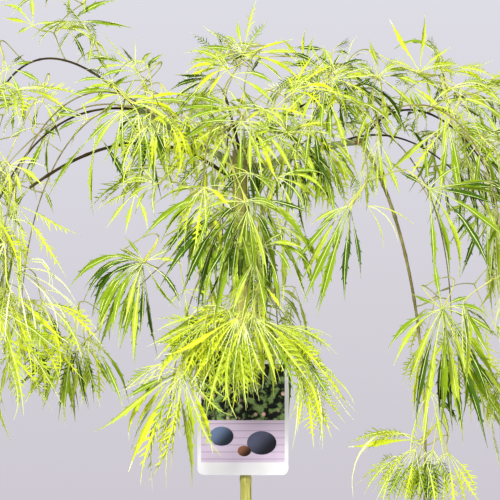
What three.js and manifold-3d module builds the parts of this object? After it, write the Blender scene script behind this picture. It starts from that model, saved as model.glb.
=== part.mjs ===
// A young weeping maple in a plain nursery pot, trained as a small standard.
//
// One thin stem rises from the pot to a head about 0.75 m up. Two short arms and a ring of thin boughs
// leave the head, arch over and hang, and carry open masses of finely cut leaves. A plant label hangs
// from the stem in front. Millimetres, +Z up; the origin is the centre of the pot's flat underside and
// the front is towards -Y.
import * as THREE from "three";
import { mergeVertices } from "three/addons/utils/BufferGeometryUtils.js";
import Module from "manifold-3d";

// ---- driving dimensions -------------------------------------------------------------------------
const GAP = 0.35; // clearance kept wherever two pieces meet
const RIGHT = new THREE.Vector3(1, 0, 0);

const POT = {
  height: 165,
  footRadius: 68,
  topRadius: 92,
  wall: 3,
  floor: 4,
  rimHeight: 22,
  rimOverhang: 3.5,
  rimUndercut: 1.5,
  lipChamfer: 2,
  segments: 24,
  drainHoles: 6,
  drainHoleRadius: 5,
  drainHoleSides: 8,
  drainCircleRadius: 48,
};
const SOIL_TOP = 150;
const SOIL_EDGE_DROP = 3;
const SOIL_FLAT_RADIUS = 24;

const HEAD_HEIGHT = 745; // where the arms and boughs leave the stem
const STEM = {
  flareRadius: 12,
  footRadius: 6.4,
  flareHeight: 22,
  waistRadius: 4.1,
  waistAt: 0.58, // share of the stem's height
  headRadius: 5.6,
  bend: [6, 5], // how far the lower third leans out, along X and Y
  counterBend: [-1, -4],
  headOffset: [-4, 0],
  sink: 6, // the rod starts this far down and is then cut flat at the potting mix
  sides: 8,
  steps: 12,
  crowding: 1.6, // above 1, the rod's rings crowd together at the flare
};
const LIMB_SIDES = 6;
const STEP_LENGTH = 38; // a limb gets one ring for about this much of its length

// Each bough leaves the limb it grows on, in its own direction seen from above (azimuth, 0 = +X, 90 = back),
// at a pitch above the horizontal, and arrives at its tip at another pitch. run is how far out the tip is,
// tip its height, and each pull how long the curve keeps to that pitch. radii are at its root and its tip.
// It ends just inside the mass named by into, or at its tip, and is divided at its bend.
const BOUGHS = [
  { name: "arm_left", on: "stem", at: 0.985, azimuth: 180, run: 76, tip: 775,
    leave: [12, 30], arrive: [25, 30], radii: [2.9, 1.9] },
  { name: "arm_right", on: "stem", at: 0.975, azimuth: 0, run: 92, tip: 751,
    leave: [8, 30], arrive: [0, 30], radii: [2.9, 2.3] },
  { name: "left_high", on: "arm_left", at: 1, azimuth: 180, run: 132, tip: 600, bend: 0.4,
    leave: [45, 90], arrive: [-90, 250], radii: [1.3, 0.8], into: "leaves_left_end_high" },
  { name: "left_low", on: "arm_left", at: 1, azimuth: 186, run: 128, tip: 640,
    leave: [8, 60], arrive: [-75, 110], radii: [1.25, 0.8], into: "leaves_left_end_high" },
  { name: "left_thin", on: "arm_left", at: 0.96, azimuth: 170, run: 116, tip: 722,
    leave: [24, 50], arrive: [-50, 50], radii: [1.0, 0.7], into: "leaves_left_end_high" },
  { name: "left_pruned", on: "stem", at: 0.955, azimuth: 190, run: 158, tip: 716,
    leave: [28, 60], arrive: [-40, 70], radii: [1.9, 1.4], into: "leaves_left_end_high" },
  { name: "left_inner", on: "stem", at: 0.93, azimuth: 206, run: 122, tip: 606,
    leave: [-30, 55], arrive: [-45, 60], radii: [1.2, 0.7], into: "leaves_left_lock" },
  { name: "left_front", on: "stem", at: 0.9, azimuth: 226, run: 78, tip: 530,
    leave: [-5, 35], arrive: [-85, 90], radii: [1.2, 0.7], into: "leaves_left_front_lock" },
  { name: "right_high", on: "arm_right", at: 1, azimuth: 0, run: 122, tip: 630, bend: 0.3,
    leave: [62, 66], arrive: [-85, 130], radii: [1.3, 0.8], into: "leaves_right_end_high" },
  { name: "right_low", on: "arm_right", at: 0.76, azimuth: 9, run: 118, tip: 700,
    leave: [26, 50], arrive: [-55, 55], radii: [1.15, 0.7], into: "leaves_right_end_high" },
  { name: "right_tress", on: "arm_right", at: 0.985, azimuth: -6, run: 47, tip: 470,
    leave: [-56, 48], arrive: [-93, 150], radii: [1.8, 0.9], into: "leaves_right_lock" },
  { name: "front_tress", on: "stem", at: 0.99, azimuth: -66, run: 46, tip: 622,
    leave: [40, 40], arrive: [-88, 70], radii: [1.2, 0.8], into: "leaves_front_middle" },
  { name: "top_left", on: "stem", at: 1, azimuth: 150, run: 14, tip: 790,
    leave: [75, 12], arrive: [70, 10], radii: [1.6, 1.1], into: "leaves_top" },
  { name: "top_right", on: "stem", at: 0.99, azimuth: 18, run: 64, tip: 784,
    leave: [50, 22], arrive: [10, 22], radii: [1.5, 1.0], into: "leaves_right_shoulder" },
  { name: "back_left", on: "arm_left", at: 0.62, azimuth: 136, run: 178, tip: 600, bend: 0.34,
    leave: [42, 82], arrive: [-89, 165], radii: [1.4, 0.8], into: "leaves_back_left" },
  { name: "back_middle", on: "stem", at: 0.985, azimuth: 95, run: 182, tip: 590, bend: 0.36,
    leave: [44, 90], arrive: [-90, 190], radii: [1.4, 0.8], into: "leaves_back_middle" },
  { name: "back_inner", on: "stem", at: 0.94, azimuth: 72, run: 98, tip: 560, bend: 0.4,
    leave: [30, 50], arrive: [-88, 120], radii: [1.3, 0.8], into: "leaves_back_inner" },
  { name: "back_right", on: "arm_right", at: 0.42, azimuth: 45, run: 184, tip: 600, bend: 0.34,
    leave: [44, 85], arrive: [-90, 170], radii: [1.4, 0.8], into: "leaves_back_right" },
  { name: "front_left", on: "arm_left", at: 0.82, azimuth: 226, run: 158, tip: 620, bend: 0.36,
    leave: [38, 80], arrive: [-90, 150], radii: [1.3, 0.8], into: "leaves_front_left" },
  { name: "front_right", on: "arm_right", at: 0.93, azimuth: -48, run: 152, tip: 640, bend: 0.36,
    leave: [42, 78], arrive: [-90, 140], radii: [1.3, 0.8], into: "leaves_front_right" },
  { name: "front_middle", on: "stem", at: 0.975, azimuth: -102, run: 124, tip: 700, bend: 0.3,
    leave: [45, 62], arrive: [-88, 80], radii: [1.3, 0.8], into: "leaves_front" },
];

// Each mass of leaves hangs about its middle, with its half width, half depth and half height.
const MASSES = [
  { name: "leaves_left_crest", middle: [-136, -4, 832], half: [66, 56, 33] },
  { name: "leaves_left_shoulder", middle: [-84, -12, 793], half: [42, 46, 32] },
  { name: "leaves_left_inner", middle: [-76, -22, 722], half: [60, 44, 48] },
  { name: "leaves_left_end_high", middle: [-186, 2, 738], half: [48, 60, 66] },
  { name: "leaves_left_end_low", middle: [-184, 0, 618], half: [52, 60, 84] },
  { name: "leaves_left_lock", middle: [-108, -44, 602], half: [42, 38, 78] },
  { name: "leaves_left_front_lock", middle: [-56, -50, 548], half: [34, 32, 60] },
  { name: "leaves_front_tuft", middle: [12, -48, 568], half: [68, 30, 74] },
  { name: "leaves_front_middle", middle: [4, -42, 676], half: [62, 36, 60] },
  { name: "leaves_top", middle: [-6, -8, 810], half: [64, 60, 50] },
  { name: "leaves_right_shoulder", middle: [76, -8, 794], half: [50, 56, 42] },
  { name: "leaves_right_crest", middle: [162, -4, 800], half: [64, 64, 42] },
  { name: "leaves_right_end_high", middle: [188, 2, 704], half: [50, 58, 68] },
  { name: "leaves_right_inner", middle: [64, -22, 678], half: [34, 38, 72] },
  { name: "leaves_right_lock", middle: [148, -12, 590], half: [44, 44, 84] },
  { name: "leaves_right_lock_end", middle: [118, -14, 494], half: [54, 42, 50] },
  { name: "leaves_right_end_low", middle: [206, 18, 598], half: [34, 50, 78] },
  { name: "leaves_back_left", middle: [-170, 120, 696], half: [54, 64, 98] },
  { name: "leaves_back_middle", middle: [-16, 166, 690], half: [80, 50, 104] },
  { name: "leaves_back_right", middle: [168, 122, 696], half: [60, 66, 100] },
  { name: "leaves_back_inner", middle: [26, 88, 622], half: [54, 40, 90] },
  { name: "leaves_back_crest", middle: [-12, 100, 796], half: [118, 72, 42] },
  { name: "leaves_front_left", middle: [-166, -112, 692], half: [52, 62, 88] },
  { name: "leaves_front_right", middle: [178, -114, 704], half: [54, 64, 84] },
  { name: "leaves_front", middle: [-24, -126, 742], half: [80, 60, 64] },
];
const MASS_DETAIL = 2; // how finely each mass's ball is divided
const MASS_UNEVENNESS = 0.14;
const MASS_TAPER = 0.18; // how much narrower than its waist a mass is at its foot
const BOUGH_BITE = 0.72; // a bough stops this share of the way from its mass's middle to its outside
const ENTRY_FROM = 0.1; // it is looked for from this share of the bough on, in steps of
const ENTRY_STEP = 0.01;

const LABEL = {
  width: 68,
  height: 86,
  thickness: 0.8,
  corner: 5,
  bottom: 502, // height of the card's lower edge
  standOff: 9, // from the stem's axis to the card's front face
  neckWidth: 10,
  neckHeight: 22,
  loopHeight: 9,
  loopThickness: 1.2,
  loopSlack: 0.25,
  tongueWidth: 8,
};

// ---- finishes -----------------------------------------------------------------------------------
const finish = (color, roughness) => new THREE.MeshStandardMaterial({ color, roughness, metalness: 0 });
const POT_PLASTIC = finish(0x3a3c40, 0.55);
const POTTING_MIX = finish(0x3b2a1e, 0.95);
const STEM_BARK = finish(0x8a8f4a, 0.6);
const BOUGH_BARK = finish(0x5a4a2c, 0.55);
const LEAF_LIME = finish(0xb4cc2a, 0.6);
const LABEL_CARD = finish(0xf2f2ee, 0.4);

// ---- solids -------------------------------------------------------------------------------------
const wasm = await Module();
wasm.setup();

// A closed three.js geometry as a solid that can be cut.
function solidOf(geometry) {
  const bare = geometry.index ? geometry.toNonIndexed() : geometry.clone();
  bare.deleteAttribute("normal");
  bare.deleteAttribute("uv");
  const merged = mergeVertices(bare, 1e-3);
  return new wasm.Manifold(
    new wasm.Mesh({
      numProp: 3,
      vertProperties: new Float32Array(merged.attributes.position.array),
      triVerts: new Uint32Array(merged.index.array),
    }),
  );
}

function geometryOf(solid) {
  const { vertProperties, triVerts } = solid.getMesh();
  const geometry = new THREE.BufferGeometry();
  geometry.setAttribute("position", new THREE.BufferAttribute(new Float32Array(vertProperties), 3));
  geometry.setIndex(new THREE.BufferAttribute(new Uint32Array(triVerts), 1));
  geometry.computeVertexNormals();
  return geometry;
}

// The box that a piece fits in, with the gap kept all round.
function boxRoundAbout(geometry) {
  geometry.computeBoundingBox();
  const room = geometry.boundingBox.expandByScalar(GAP);
  const middle = room.getCenter(new THREE.Vector3());
  return new THREE.BoxGeometry(...room.getSize(new THREE.Vector3())).translate(...middle);
}

const largestPiece = (solid) => solid.decompose().reduce((a, b) => (a.volume() > b.volume() ? a : b));

const model = new THREE.Group();
const clearances = []; // what has been placed so far, each a gap thicker than it is

// Adds a piece, cut back from everything placed before it, and keeps the room it needs.
function place(name, geometry, roomy, material) {
  const cut = clearances.reduce((solid, taken) => solid.subtract(taken), solidOf(geometry));
  const mesh = new THREE.Mesh(geometryOf(largestPiece(cut)), material);
  mesh.name = name;
  model.add(mesh);
  if (roomy) clearances.push(solidOf(roomy));
}

// ---- pot and potting mix ------------------------------------------------------------------------
// Revolves a profile of [radius, height] pairs about the upright axis.
function turned(profile) {
  const points = profile.map(([radius, height]) => new THREE.Vector2(radius, height));
  return new THREE.LatheGeometry(points, POT.segments).rotateX(Math.PI / 2);
}

const potRadiusAt = (height) =>
  POT.footRadius + ((POT.topRadius - POT.footRadius) * height) / POT.height;

function potGeometry() {
  const rimFoot = POT.height - POT.rimHeight;
  const inner = (height) => potRadiusAt(height) - POT.wall;
  const shell = turned([
    [0, 0],
    [POT.footRadius, 0],
    [potRadiusAt(rimFoot), rimFoot],
    [potRadiusAt(rimFoot) + POT.rimOverhang, rimFoot + POT.rimUndercut],
    [POT.topRadius + POT.rimOverhang, POT.height - POT.lipChamfer],
    [POT.topRadius + POT.rimOverhang - POT.lipChamfer, POT.height],
    [inner(POT.height), POT.height],
    [inner(POT.floor), POT.floor],
    [0, POT.floor],
  ]);
  const drill = new THREE.CylinderGeometry(
    POT.drainHoleRadius,
    POT.drainHoleRadius,
    POT.floor * 3,
    POT.drainHoleSides,
  );
  drill.rotateX(Math.PI / 2).translate(POT.drainCircleRadius, 0, 0);
  let pot = solidOf(shell);
  for (let i = 0; i < POT.drainHoles; i++) {
    pot = pot.subtract(solidOf(drill));
    drill.rotateZ((2 * Math.PI) / POT.drainHoles);
  }
  return geometryOf(pot);
}

function soilGeometry() {
  const inner = (height) => potRadiusAt(height) - POT.wall - GAP;
  const edge = SOIL_TOP - SOIL_EDGE_DROP;
  return turned([
    [0, POT.floor + GAP],
    [inner(POT.floor), POT.floor + GAP],
    [inner(edge), edge],
    [SOIL_FLAT_RADIUS, SOIL_TOP],
    [0, SOIL_TOP],
  ]);
}

// ---- limbs --------------------------------------------------------------------------------------
// A closed, tapering rod that follows part of a curve: an upright cylinder, bent ring by ring.
// across is the level direction that the curve never turns towards.
function rodAlong({ curve, across, from, to, radiusAt, sides, steps }, spare = 0) {
  const rod = new THREE.CylinderGeometry(1, 1, 1, sides, steps);
  const corners = rod.attributes.position;
  const side = new THREE.Vector3();
  const front = new THREE.Vector3();
  for (let i = 0; i < corners.count; i++) {
    const along = corners.getY(i) + 0.5;
    const share = from + (to - from) * along;
    const tangent = curve.getTangent(share);
    front.crossVectors(across, tangent).normalize();
    side.crossVectors(tangent, front);
    const radius = radiusAt(share) + spare;
    const at = curve
      .getPoint(share)
      .addScaledVector(side, corners.getX(i) * radius)
      .addScaledVector(front, corners.getZ(i) * radius)
      .addScaledVector(tangent, along === 0 ? -spare : along === 1 ? spare : 0);
    corners.setXYZ(i, at.x, at.y, at.z);
  }
  return rod;
}

const stemCurve = new THREE.CubicBezierCurve3(
  new THREE.Vector3(0, 0, SOIL_TOP - STEM.sink),
  new THREE.Vector3(...STEM.bend, SOIL_TOP + (HEAD_HEIGHT - SOIL_TOP) / 3),
  new THREE.Vector3(...STEM.counterBend, SOIL_TOP + ((HEAD_HEIGHT - SOIL_TOP) * 2) / 3),
  new THREE.Vector3(...STEM.headOffset, HEAD_HEIGHT),
);

// Flared at the soil, thinnest a little over half way up, and thicker again at the grafted head.
function stemRadius(share) {
  const above = share * (HEAD_HEIGHT - SOIL_TOP);
  const flare = (STEM.flareRadius - STEM.footRadius) * Math.exp((-3 * above) / STEM.flareHeight);
  const lower = THREE.MathUtils.lerp(STEM.footRadius, STEM.waistRadius, Math.min(1, share / STEM.waistAt));
  const swell = THREE.MathUtils.smoothstep(share, 0.78, 0.97);
  return lower + flare + (STEM.headRadius - STEM.waistRadius) * swell;
}

// The stem again, followed slowly at first so that its rings crowd together at the flare.
const slowStart = {
  getPoint: (s) => stemCurve.getPoint(s ** STEM.crowding),
  getTangent: (s) => stemCurve.getTangent(s ** STEM.crowding),
};

const curves = new Map([["stem", stemCurve]]);

const heading = (azimuth, pitch) => {
  const [turn, rise] = [azimuth, pitch].map(THREE.MathUtils.degToRad);
  return new THREE.Vector3(
    Math.cos(turn) * Math.cos(rise),
    Math.sin(turn) * Math.cos(rise),
    Math.sin(rise),
  );
};

function boughCurve({ on, at, azimuth, run, tip, leave, arrive }) {
  const root = curves.get(on).getPoint(at);
  const end = root.clone().addScaledVector(heading(azimuth, 0), run).setZ(tip);
  const first = root.clone().addScaledVector(heading(azimuth, leave[0]), leave[1]);
  const second = end.clone().addScaledVector(heading(azimuth, arrive[0]), -arrive[1]);
  return new THREE.CubicBezierCurve3(root, first, second, end);
}

function placeBough(bough) {
  const curve = boughCurve(bough);
  curves.set(bough.name, curve);
  const [root, tip] = bough.radii;
  const radiusAt = (share) => THREE.MathUtils.lerp(root, tip, share);
  const across = heading(bough.azimuth + 90, 0);
  const stretch = (name, from, to) => {
    const steps = Math.max(2, Math.round(((to - from) * curve.getLength()) / STEP_LENGTH));
    const rod = { curve, across, from, to, radiusAt, sides: LIMB_SIDES, steps };
    place(`bough_${name}`, rodAlong(rod), rodAlong(rod, GAP), BOUGH_BARK);
  };
  const end = entryInto(MASSES.find((mass) => mass.name === bough.into), curve);
  if (bough.bend) {
    stretch(`${bough.name}_rise`, 0, bough.bend);
    stretch(`${bough.name}_fall`, bough.bend, end);
  } else {
    stretch(bough.name, 0, end);
  }
}

// The share of a curve at which it has come a little way into a mass; all of it where there is none.
function entryInto(mass, curve) {
  if (!mass) return 1;
  const depth = (share) => {
    const at = curve.getPoint(share).toArray();
    return Math.hypot(...at.map((value, axis) => (value - mass.middle[axis]) / mass.half[axis]));
  };
  let share = ENTRY_FROM;
  while (share < 1 && depth(share) > BOUGH_BITE) share += ENTRY_STEP;
  return Math.min(share, 1);
}

// ---- masses of leaves ---------------------------------------------------------------------------
// An uneven ball, ragged in its own way for each number, and drawn in towards its foot.
function massGeometry({ middle, half }, number, spare = 0) {
  const ball = new THREE.IcosahedronGeometry(1, MASS_DETAIL);
  const corners = ball.attributes.position;
  const way = new THREE.Vector3();
  for (let i = 0; i < corners.count; i++) {
    way.fromBufferAttribute(corners, i).normalize();
    const ripple =
      Math.sin(3.1 * way.x + 2.3 * way.z + number) +
      Math.sin(4.3 * way.y - 2.7 * way.x + 2 * number) +
      Math.sin(5.2 * way.z + 3.7 * way.y + 3 * number);
    const reach = 1 - MASS_UNEVENNESS + (MASS_UNEVENNESS * ripple) / 3;
    const waist = reach * (1 - MASS_TAPER * Math.max(0, -reach * way.z));
    corners.setXYZ(
      i,
      middle[0] + way.x * (waist * half[0] + spare),
      middle[1] + way.y * (waist * half[1] + spare),
      middle[2] + way.z * (reach * half[2] + spare),
    );
  }
  return ball;
}

// ---- label --------------------------------------------------------------------------------------
// A stiff card with rounded corners and a narrow neck, cut in one piece, hanging in front of the stem.
function labelGeometry() {
  const [w, h, r] = [LABEL.width / 2, LABEL.height, LABEL.corner];
  const neck = LABEL.neckWidth / 2;
  const card = new THREE.Shape()
    .moveTo(-w + r, 0)
    .lineTo(w - r, 0)
    .absarc(w - r, r, r, -Math.PI / 2, 0)
    .lineTo(w, h - r)
    .absarc(w - r, h - r, r, 0, Math.PI / 2)
    .lineTo(neck, h)
    .lineTo(neck, h + LABEL.neckHeight)
    .lineTo(-neck, h + LABEL.neckHeight)
    .lineTo(-neck, h)
    .lineTo(-w + r, h)
    .absarc(-w + r, h - r, r, Math.PI / 2, Math.PI)
    .lineTo(-w, r)
    .absarc(-w + r, r, r, Math.PI, 1.5 * Math.PI);
  const plate = new THREE.ExtrudeGeometry(card, {
    depth: LABEL.thickness,
    bevelEnabled: false,
    curveSegments: 4,
  });
  const at = stemAtHeight(LABEL.bottom + LABEL.height + LABEL.neckHeight);
  plate.rotateX(Math.PI / 2);
  return plate.translate(at.point.x, at.point.y - LABEL.standOff + LABEL.thickness, LABEL.bottom);
}

// The stem's centre and radius at a height.
function stemAtHeight(height) {
  let [low, high] = [0, 1];
  for (let i = 0; i < 30; i++) {
    const middle = (low + high) / 2;
    if (stemCurve.getPoint(middle).z < height) low = middle;
    else high = middle;
  }
  return { point: stemCurve.getPoint(low), radius: stemRadius(low) };
}

// The neck's strap goes once round the stem: a flat ring with a tongue that meets the neck's back.
function loopGeometry() {
  const height = LABEL.bottom + LABEL.height + LABEL.neckHeight - LABEL.loopHeight;
  const { point, radius } = stemAtHeight(height + LABEL.loopHeight / 2);
  const inner = radius + GAP + LABEL.loopSlack;
  const outer = inner + LABEL.loopThickness;
  const tongue = LABEL.tongueWidth / 2;
  const reach = LABEL.standOff - LABEL.thickness - GAP;
  const lean = Math.asin(tongue / outer);
  const ring = new THREE.Shape()
    .absarc(0, 0, outer, -Math.PI / 2 + lean, 1.5 * Math.PI - lean)
    .lineTo(-tongue, -reach)
    .lineTo(tongue, -reach);
  ring.holes.push(new THREE.Path().absarc(0, 0, inner, 0, 2 * Math.PI));
  const strap = new THREE.ExtrudeGeometry(ring, {
    depth: LABEL.loopHeight,
    bevelEnabled: false,
    curveSegments: 10,
  });
  return strap.translate(point.x, point.y, height);
}

// ---- assembly -----------------------------------------------------------------------------------
place("pot", potGeometry(), null, POT_PLASTIC);
place("potting_mix", soilGeometry(), null, POTTING_MIX);

const stemRod = {
  curve: slowStart,
  across: RIGHT,
  from: 0,
  to: 1,
  radiusAt: (share) => stemRadius(share ** STEM.crowding),
  sides: STEM.sides,
  steps: STEM.steps,
};
const stemSolid = solidOf(rodAlong(stemRod)).trimByPlane([0, 0, 1], SOIL_TOP + GAP);
place("stem", geometryOf(stemSolid), rodAlong(stemRod, GAP), STEM_BARK);
place("label_card", labelGeometry(), boxRoundAbout(labelGeometry()), LABEL_CARD);
place("label_loop", loopGeometry(), boxRoundAbout(loopGeometry()), LABEL_CARD);
BOUGHS.forEach(placeBough);
MASSES.forEach((mass, number) =>
  place(mass.name, massGeometry(mass, number), massGeometry(mass, number, GAP), LEAF_LIME),
);

export default model;
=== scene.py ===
# A young weeping cut-leaf maple, grafted as a small standard, in a nursery pot with its label.
# Metres, +Z up, the front towards -Y; the origin is the centre of the pot's flat underside.
import math

import bmesh
import bpy
import numpy as np
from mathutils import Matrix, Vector, noise


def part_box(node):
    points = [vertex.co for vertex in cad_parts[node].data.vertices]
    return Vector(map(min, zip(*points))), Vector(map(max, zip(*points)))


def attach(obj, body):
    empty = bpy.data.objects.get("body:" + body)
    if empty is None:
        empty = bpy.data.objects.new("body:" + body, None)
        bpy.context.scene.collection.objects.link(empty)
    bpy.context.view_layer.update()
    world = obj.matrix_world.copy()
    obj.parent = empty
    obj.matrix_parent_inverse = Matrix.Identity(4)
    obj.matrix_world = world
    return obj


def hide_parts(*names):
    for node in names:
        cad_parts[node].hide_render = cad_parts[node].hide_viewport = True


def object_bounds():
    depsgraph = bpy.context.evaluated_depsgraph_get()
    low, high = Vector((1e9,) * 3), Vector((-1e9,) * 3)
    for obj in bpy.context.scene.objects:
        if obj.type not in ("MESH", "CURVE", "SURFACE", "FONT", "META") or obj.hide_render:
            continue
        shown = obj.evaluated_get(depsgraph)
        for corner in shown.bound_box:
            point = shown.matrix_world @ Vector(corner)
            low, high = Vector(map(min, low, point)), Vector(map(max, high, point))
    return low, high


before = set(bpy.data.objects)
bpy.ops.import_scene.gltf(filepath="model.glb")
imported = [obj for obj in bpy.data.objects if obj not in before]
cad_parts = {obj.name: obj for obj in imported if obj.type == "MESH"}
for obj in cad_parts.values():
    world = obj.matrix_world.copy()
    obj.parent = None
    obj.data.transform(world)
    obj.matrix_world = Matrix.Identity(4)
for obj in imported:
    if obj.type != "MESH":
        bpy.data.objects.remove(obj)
cad_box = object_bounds()
MM = 0.001

# ---- studio ----
# A level camera two metres in front of the head of the plant, a pale lavender-grey room that lights
# evenly from all round, two wide soft lamps in front and one behind, and a plain pale floor.
CAMERA_DISTANCE = 2.0
VIEW_WIDTH = 0.375  # what the camera takes in from side to side, at the depth of the stem
SENSOR_WIDTH = 36.0
AIM = Vector((0.00375, 0.0, 0.670))


def placed(name, data):
    """A new object, put in the scene."""
    made = bpy.data.objects.new(name, data)
    bpy.context.scene.collection.objects.link(made)
    return made


camera = placed("camera", bpy.data.cameras.new("camera"))
camera.data.sensor_width = SENSOR_WIDTH
camera.data.lens = SENSOR_WIDTH * CAMERA_DISTANCE / VIEW_WIDTH
camera.location = AIM + Vector((0.0, -CAMERA_DISTANCE, 0.0))
camera.rotation_euler = (math.pi / 2, 0.0, 0.0)
bpy.context.scene.camera = camera
bpy.context.scene.view_settings.view_transform = "Standard"

LAMP_AIM = Vector((0.0, 0.0, 0.65))


def soft_lamp(name, place, width, watts, colour):
    """A square sheet of light that faces the head of the plant."""
    lamp = placed(name, bpy.data.lights.new(name, "AREA"))
    lamp.data.size, lamp.data.energy, lamp.data.color = width, watts, colour
    lamp.location = place
    lamp.rotation_euler = (LAMP_AIM - Vector(place)).to_track_quat("-Z", "Y").to_euler()


soft_lamp("key", (-1.05, -1.9, 1.5), 0.4, 76.0, (1.0, 0.975, 0.94))
soft_lamp("fill", (1.25, -2.0, 1.15), 0.9, 21.0, (0.98, 0.99, 1.0))
soft_lamp("rim", (0.6, 1.8, 1.6), 1.2, 30.0, (1.0, 1.0, 0.96))


def sum_of(operation, reflected=False):
    """An operator that adds one Math node, its terms the other way round if it is reflected."""

    def operator(self, *others):
        terms = (*others, self) if reflected else (self, *others)
        return self.shading.node("ShaderNodeMath", {"operation": operation}, dict(enumerate(terms)))

    return operator


class Value:
    """Something that varies over a surface, held by a node's socket, and the sums done with it."""

    def __init__(self, shading, socket):
        self.shading, self.socket = shading, socket

    __add__ = __radd__ = sum_of("ADD")
    __sub__, __rsub__ = sum_of("SUBTRACT"), sum_of("SUBTRACT", reflected=True)
    __mul__ = __rmul__ = sum_of("MULTIPLY")
    __truediv__, __pow__, __mod__ = sum_of("DIVIDE"), sum_of("POWER"), sum_of("FLOORED_MODULO")
    __gt__, __lt__, __abs__ = sum_of("GREATER_THAN"), sum_of("LESS_THAN"), sum_of("ABSOLUTE")


class Shading:
    """The nodes of the room or of a finish. Numbers are set on sockets, and values are linked."""

    def __init__(self, owner, shader):
        owner.use_nodes = True
        self.tree = owner.node_tree
        self.shader = self.tree.nodes[shader]

    def join(self, socket, given):
        if isinstance(given, Value):
            self.tree.links.new(given.socket, socket)
        else:
            socket.default_value = given

    def feed(self, socket, given):
        self.join(self.shader.inputs[socket], given)

    def node(self, kind, settings, sockets, output=0):
        """Any node, with its settings made first, then the numbers or links on its sockets."""
        made = self.tree.nodes.new(kind)
        for setting, choice in settings.items():
            setattr(made, setting, choice)
        for socket, given in sockets.items():
            self.join(made.inputs[socket], given)
        return Value(self, made.outputs[output])

    def blend(self, mask, first, second):
        return self.node("ShaderNodeMix", {"data_type": "RGBA"}, {0: mask, 6: first, 7: second}, 2)


ROOM_TOP, ROOM_LOW = (0.735, 0.730, 0.790, 1.0), (0.615, 0.580, 0.640, 1.0)
ROOM_FADE = 0.1  # the tone goes over within this much above and below eye level
# The walls are seen at full brightness, light the plant less, and gleam on it less again.
ROOM_LIGHT, ROOM_GLEAM = 0.38, 0.08
bpy.context.scene.world = bpy.data.worlds.new("room")
room = Shading(bpy.context.scene.world, "Background")
direction = room.node("ShaderNodeTexCoord", {}, {}, "Generated")
eye_level = {
    "Value": room.node("ShaderNodeSeparateXYZ", {}, {0: direction}, "Z"),
    "From Min": -ROOM_FADE, "From Max": ROOM_FADE,
}
room.feed("Color", room.blend(room.node("ShaderNodeMapRange", {}, eye_level), ROOM_LOW, ROOM_TOP))
seen = room.node("ShaderNodeLightPath", {}, {}, "Is Camera Ray")
gleams = room.node("ShaderNodeLightPath", {}, {}, "Is Glossy Ray")
lit = room.node("ShaderNodeMapRange", {}, {"Value": seen, "To Min": ROOM_LIGHT})
room.feed("Strength", room.node("ShaderNodeMath", {"operation": "MULTIPLY_ADD"},
                                {0: gleams, 1: ROOM_GLEAM - ROOM_LIGHT, 2: lit}))


class Finish(Shading):
    """A material, and the patterns its colour, roughness and relief are made from."""

    def __init__(self, name, **constants):
        self.material = bpy.data.materials.new(name)
        super().__init__(self.material, "Principled BSDF")
        for socket, given in constants.items():
            self.feed(socket.replace("_", " "), given)

    def place(self):
        return self.node("ShaderNodeTexCoord", {}, {}, "Object")

    def along(self, axis):
        return self.node("ShaderNodeSeparateXYZ", {}, {0: self.place()}, axis)

    def stretched(self, scale):
        return self.node("ShaderNodeMapping", {}, {"Vector": self.place(), "Scale": scale})

    def grain(self, scale, detail=3.0, where=None):
        sockets = {"Vector": where or self.place(), "Scale": scale, "Detail": detail}
        return self.node("ShaderNodeTexNoise", {}, sockets)

    def cells(self, scale, where=None):
        sockets = {"Vector": where or self.place(), "Scale": scale}
        return self.node("ShaderNodeTexVoronoi", {}, sockets)

    def spread(self, value, low, high):
        """A smooth rise from 0 to 1 as the value goes from low to high."""
        sockets = {0: value, 1: low, 2: high}
        return self.node("ShaderNodeMapRange", {"interpolation_type": "SMOOTHSTEP"}, sockets)

    def relief(self, height, depth, strength=1.0):
        sockets = {"Height": height, "Distance": depth, "Strength": strength}
        self.feed("Normal", self.node("ShaderNodeBump", {}, sockets))


def tint(red, green, blue):
    """A paint colour, given as on a colour chart from 0 to 255, as the shader takes it."""
    return tuple((c / 255) ** 2.2 for c in (red, green, blue)) + (1.0,)


def mesh_from(shape):
    mesh = bpy.data.meshes.new("shape")
    shape.to_mesh(mesh)
    shape.free()
    return mesh


FLOOR_RADIUS = 1.6
floor_shape = bmesh.new()
bmesh.ops.create_circle(floor_shape, cap_ends=True, segments=96, radius=FLOOR_RADIUS)
floor = placed("floor", mesh_from(floor_shape))
floor_finish = Finish("Pale floor", Roughness=0.7)
floor_colour = floor_finish.blend(floor_finish.grain(3.0), tint(214, 211, 218), tint(220, 217, 224))
floor_finish.feed("Base Color", floor_colour)
floor.data.materials.append(floor_finish.material)

# ---- pot ----
# A round nursery pot of dark grey polypropylene, injection moulded in one piece: a tapered wall, a
# turned down rim with a shallow stacking step under it, a raised foot ring and six drainage holes.
POT_FOOT, POT_MOUTH, POT_HEIGHT = 68.0, 92.0, 165.0
POT_WALL = 3.0
POT_TURNS = 96
DRAIN_HOLES, DRAIN_RADIUS, DRAIN_RING = 6, 5.0, 48.0
EDGE_ROUND, SHARP = 0.4 * MM, math.radians(22)  # edges that turn more than this are rounded


def pot_wall(height):
    return POT_FOOT + (POT_MOUTH - POT_FOOT) * height / POT_HEIGHT


POT_PROFILE = [
    (0.0, 1.6), (60.0, 1.6), (62.0, 0.0), (POT_FOOT - 1.0, 0.0), (POT_FOOT, 1.2),
    (pot_wall(22) - 0.3, 22.0), (pot_wall(24) - 1.0, 24.0),
    (pot_wall(112) - 1.0, 112.0), (pot_wall(115), 115.0), (pot_wall(141), 141.0),
    (pot_wall(143) + 1.0, 142.6), (pot_wall(143) + 3.4, 143.8),
    (95.2, 161.5), (95.4, 163.4), (94.2, 165.0), (91.0, 165.0), (pot_wall(163) - POT_WALL, 163.6),
    (pot_wall(60) - POT_WALL, 60.0), (pot_wall(5) - POT_WALL, 5.0), (0.0, 4.0),
]


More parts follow.
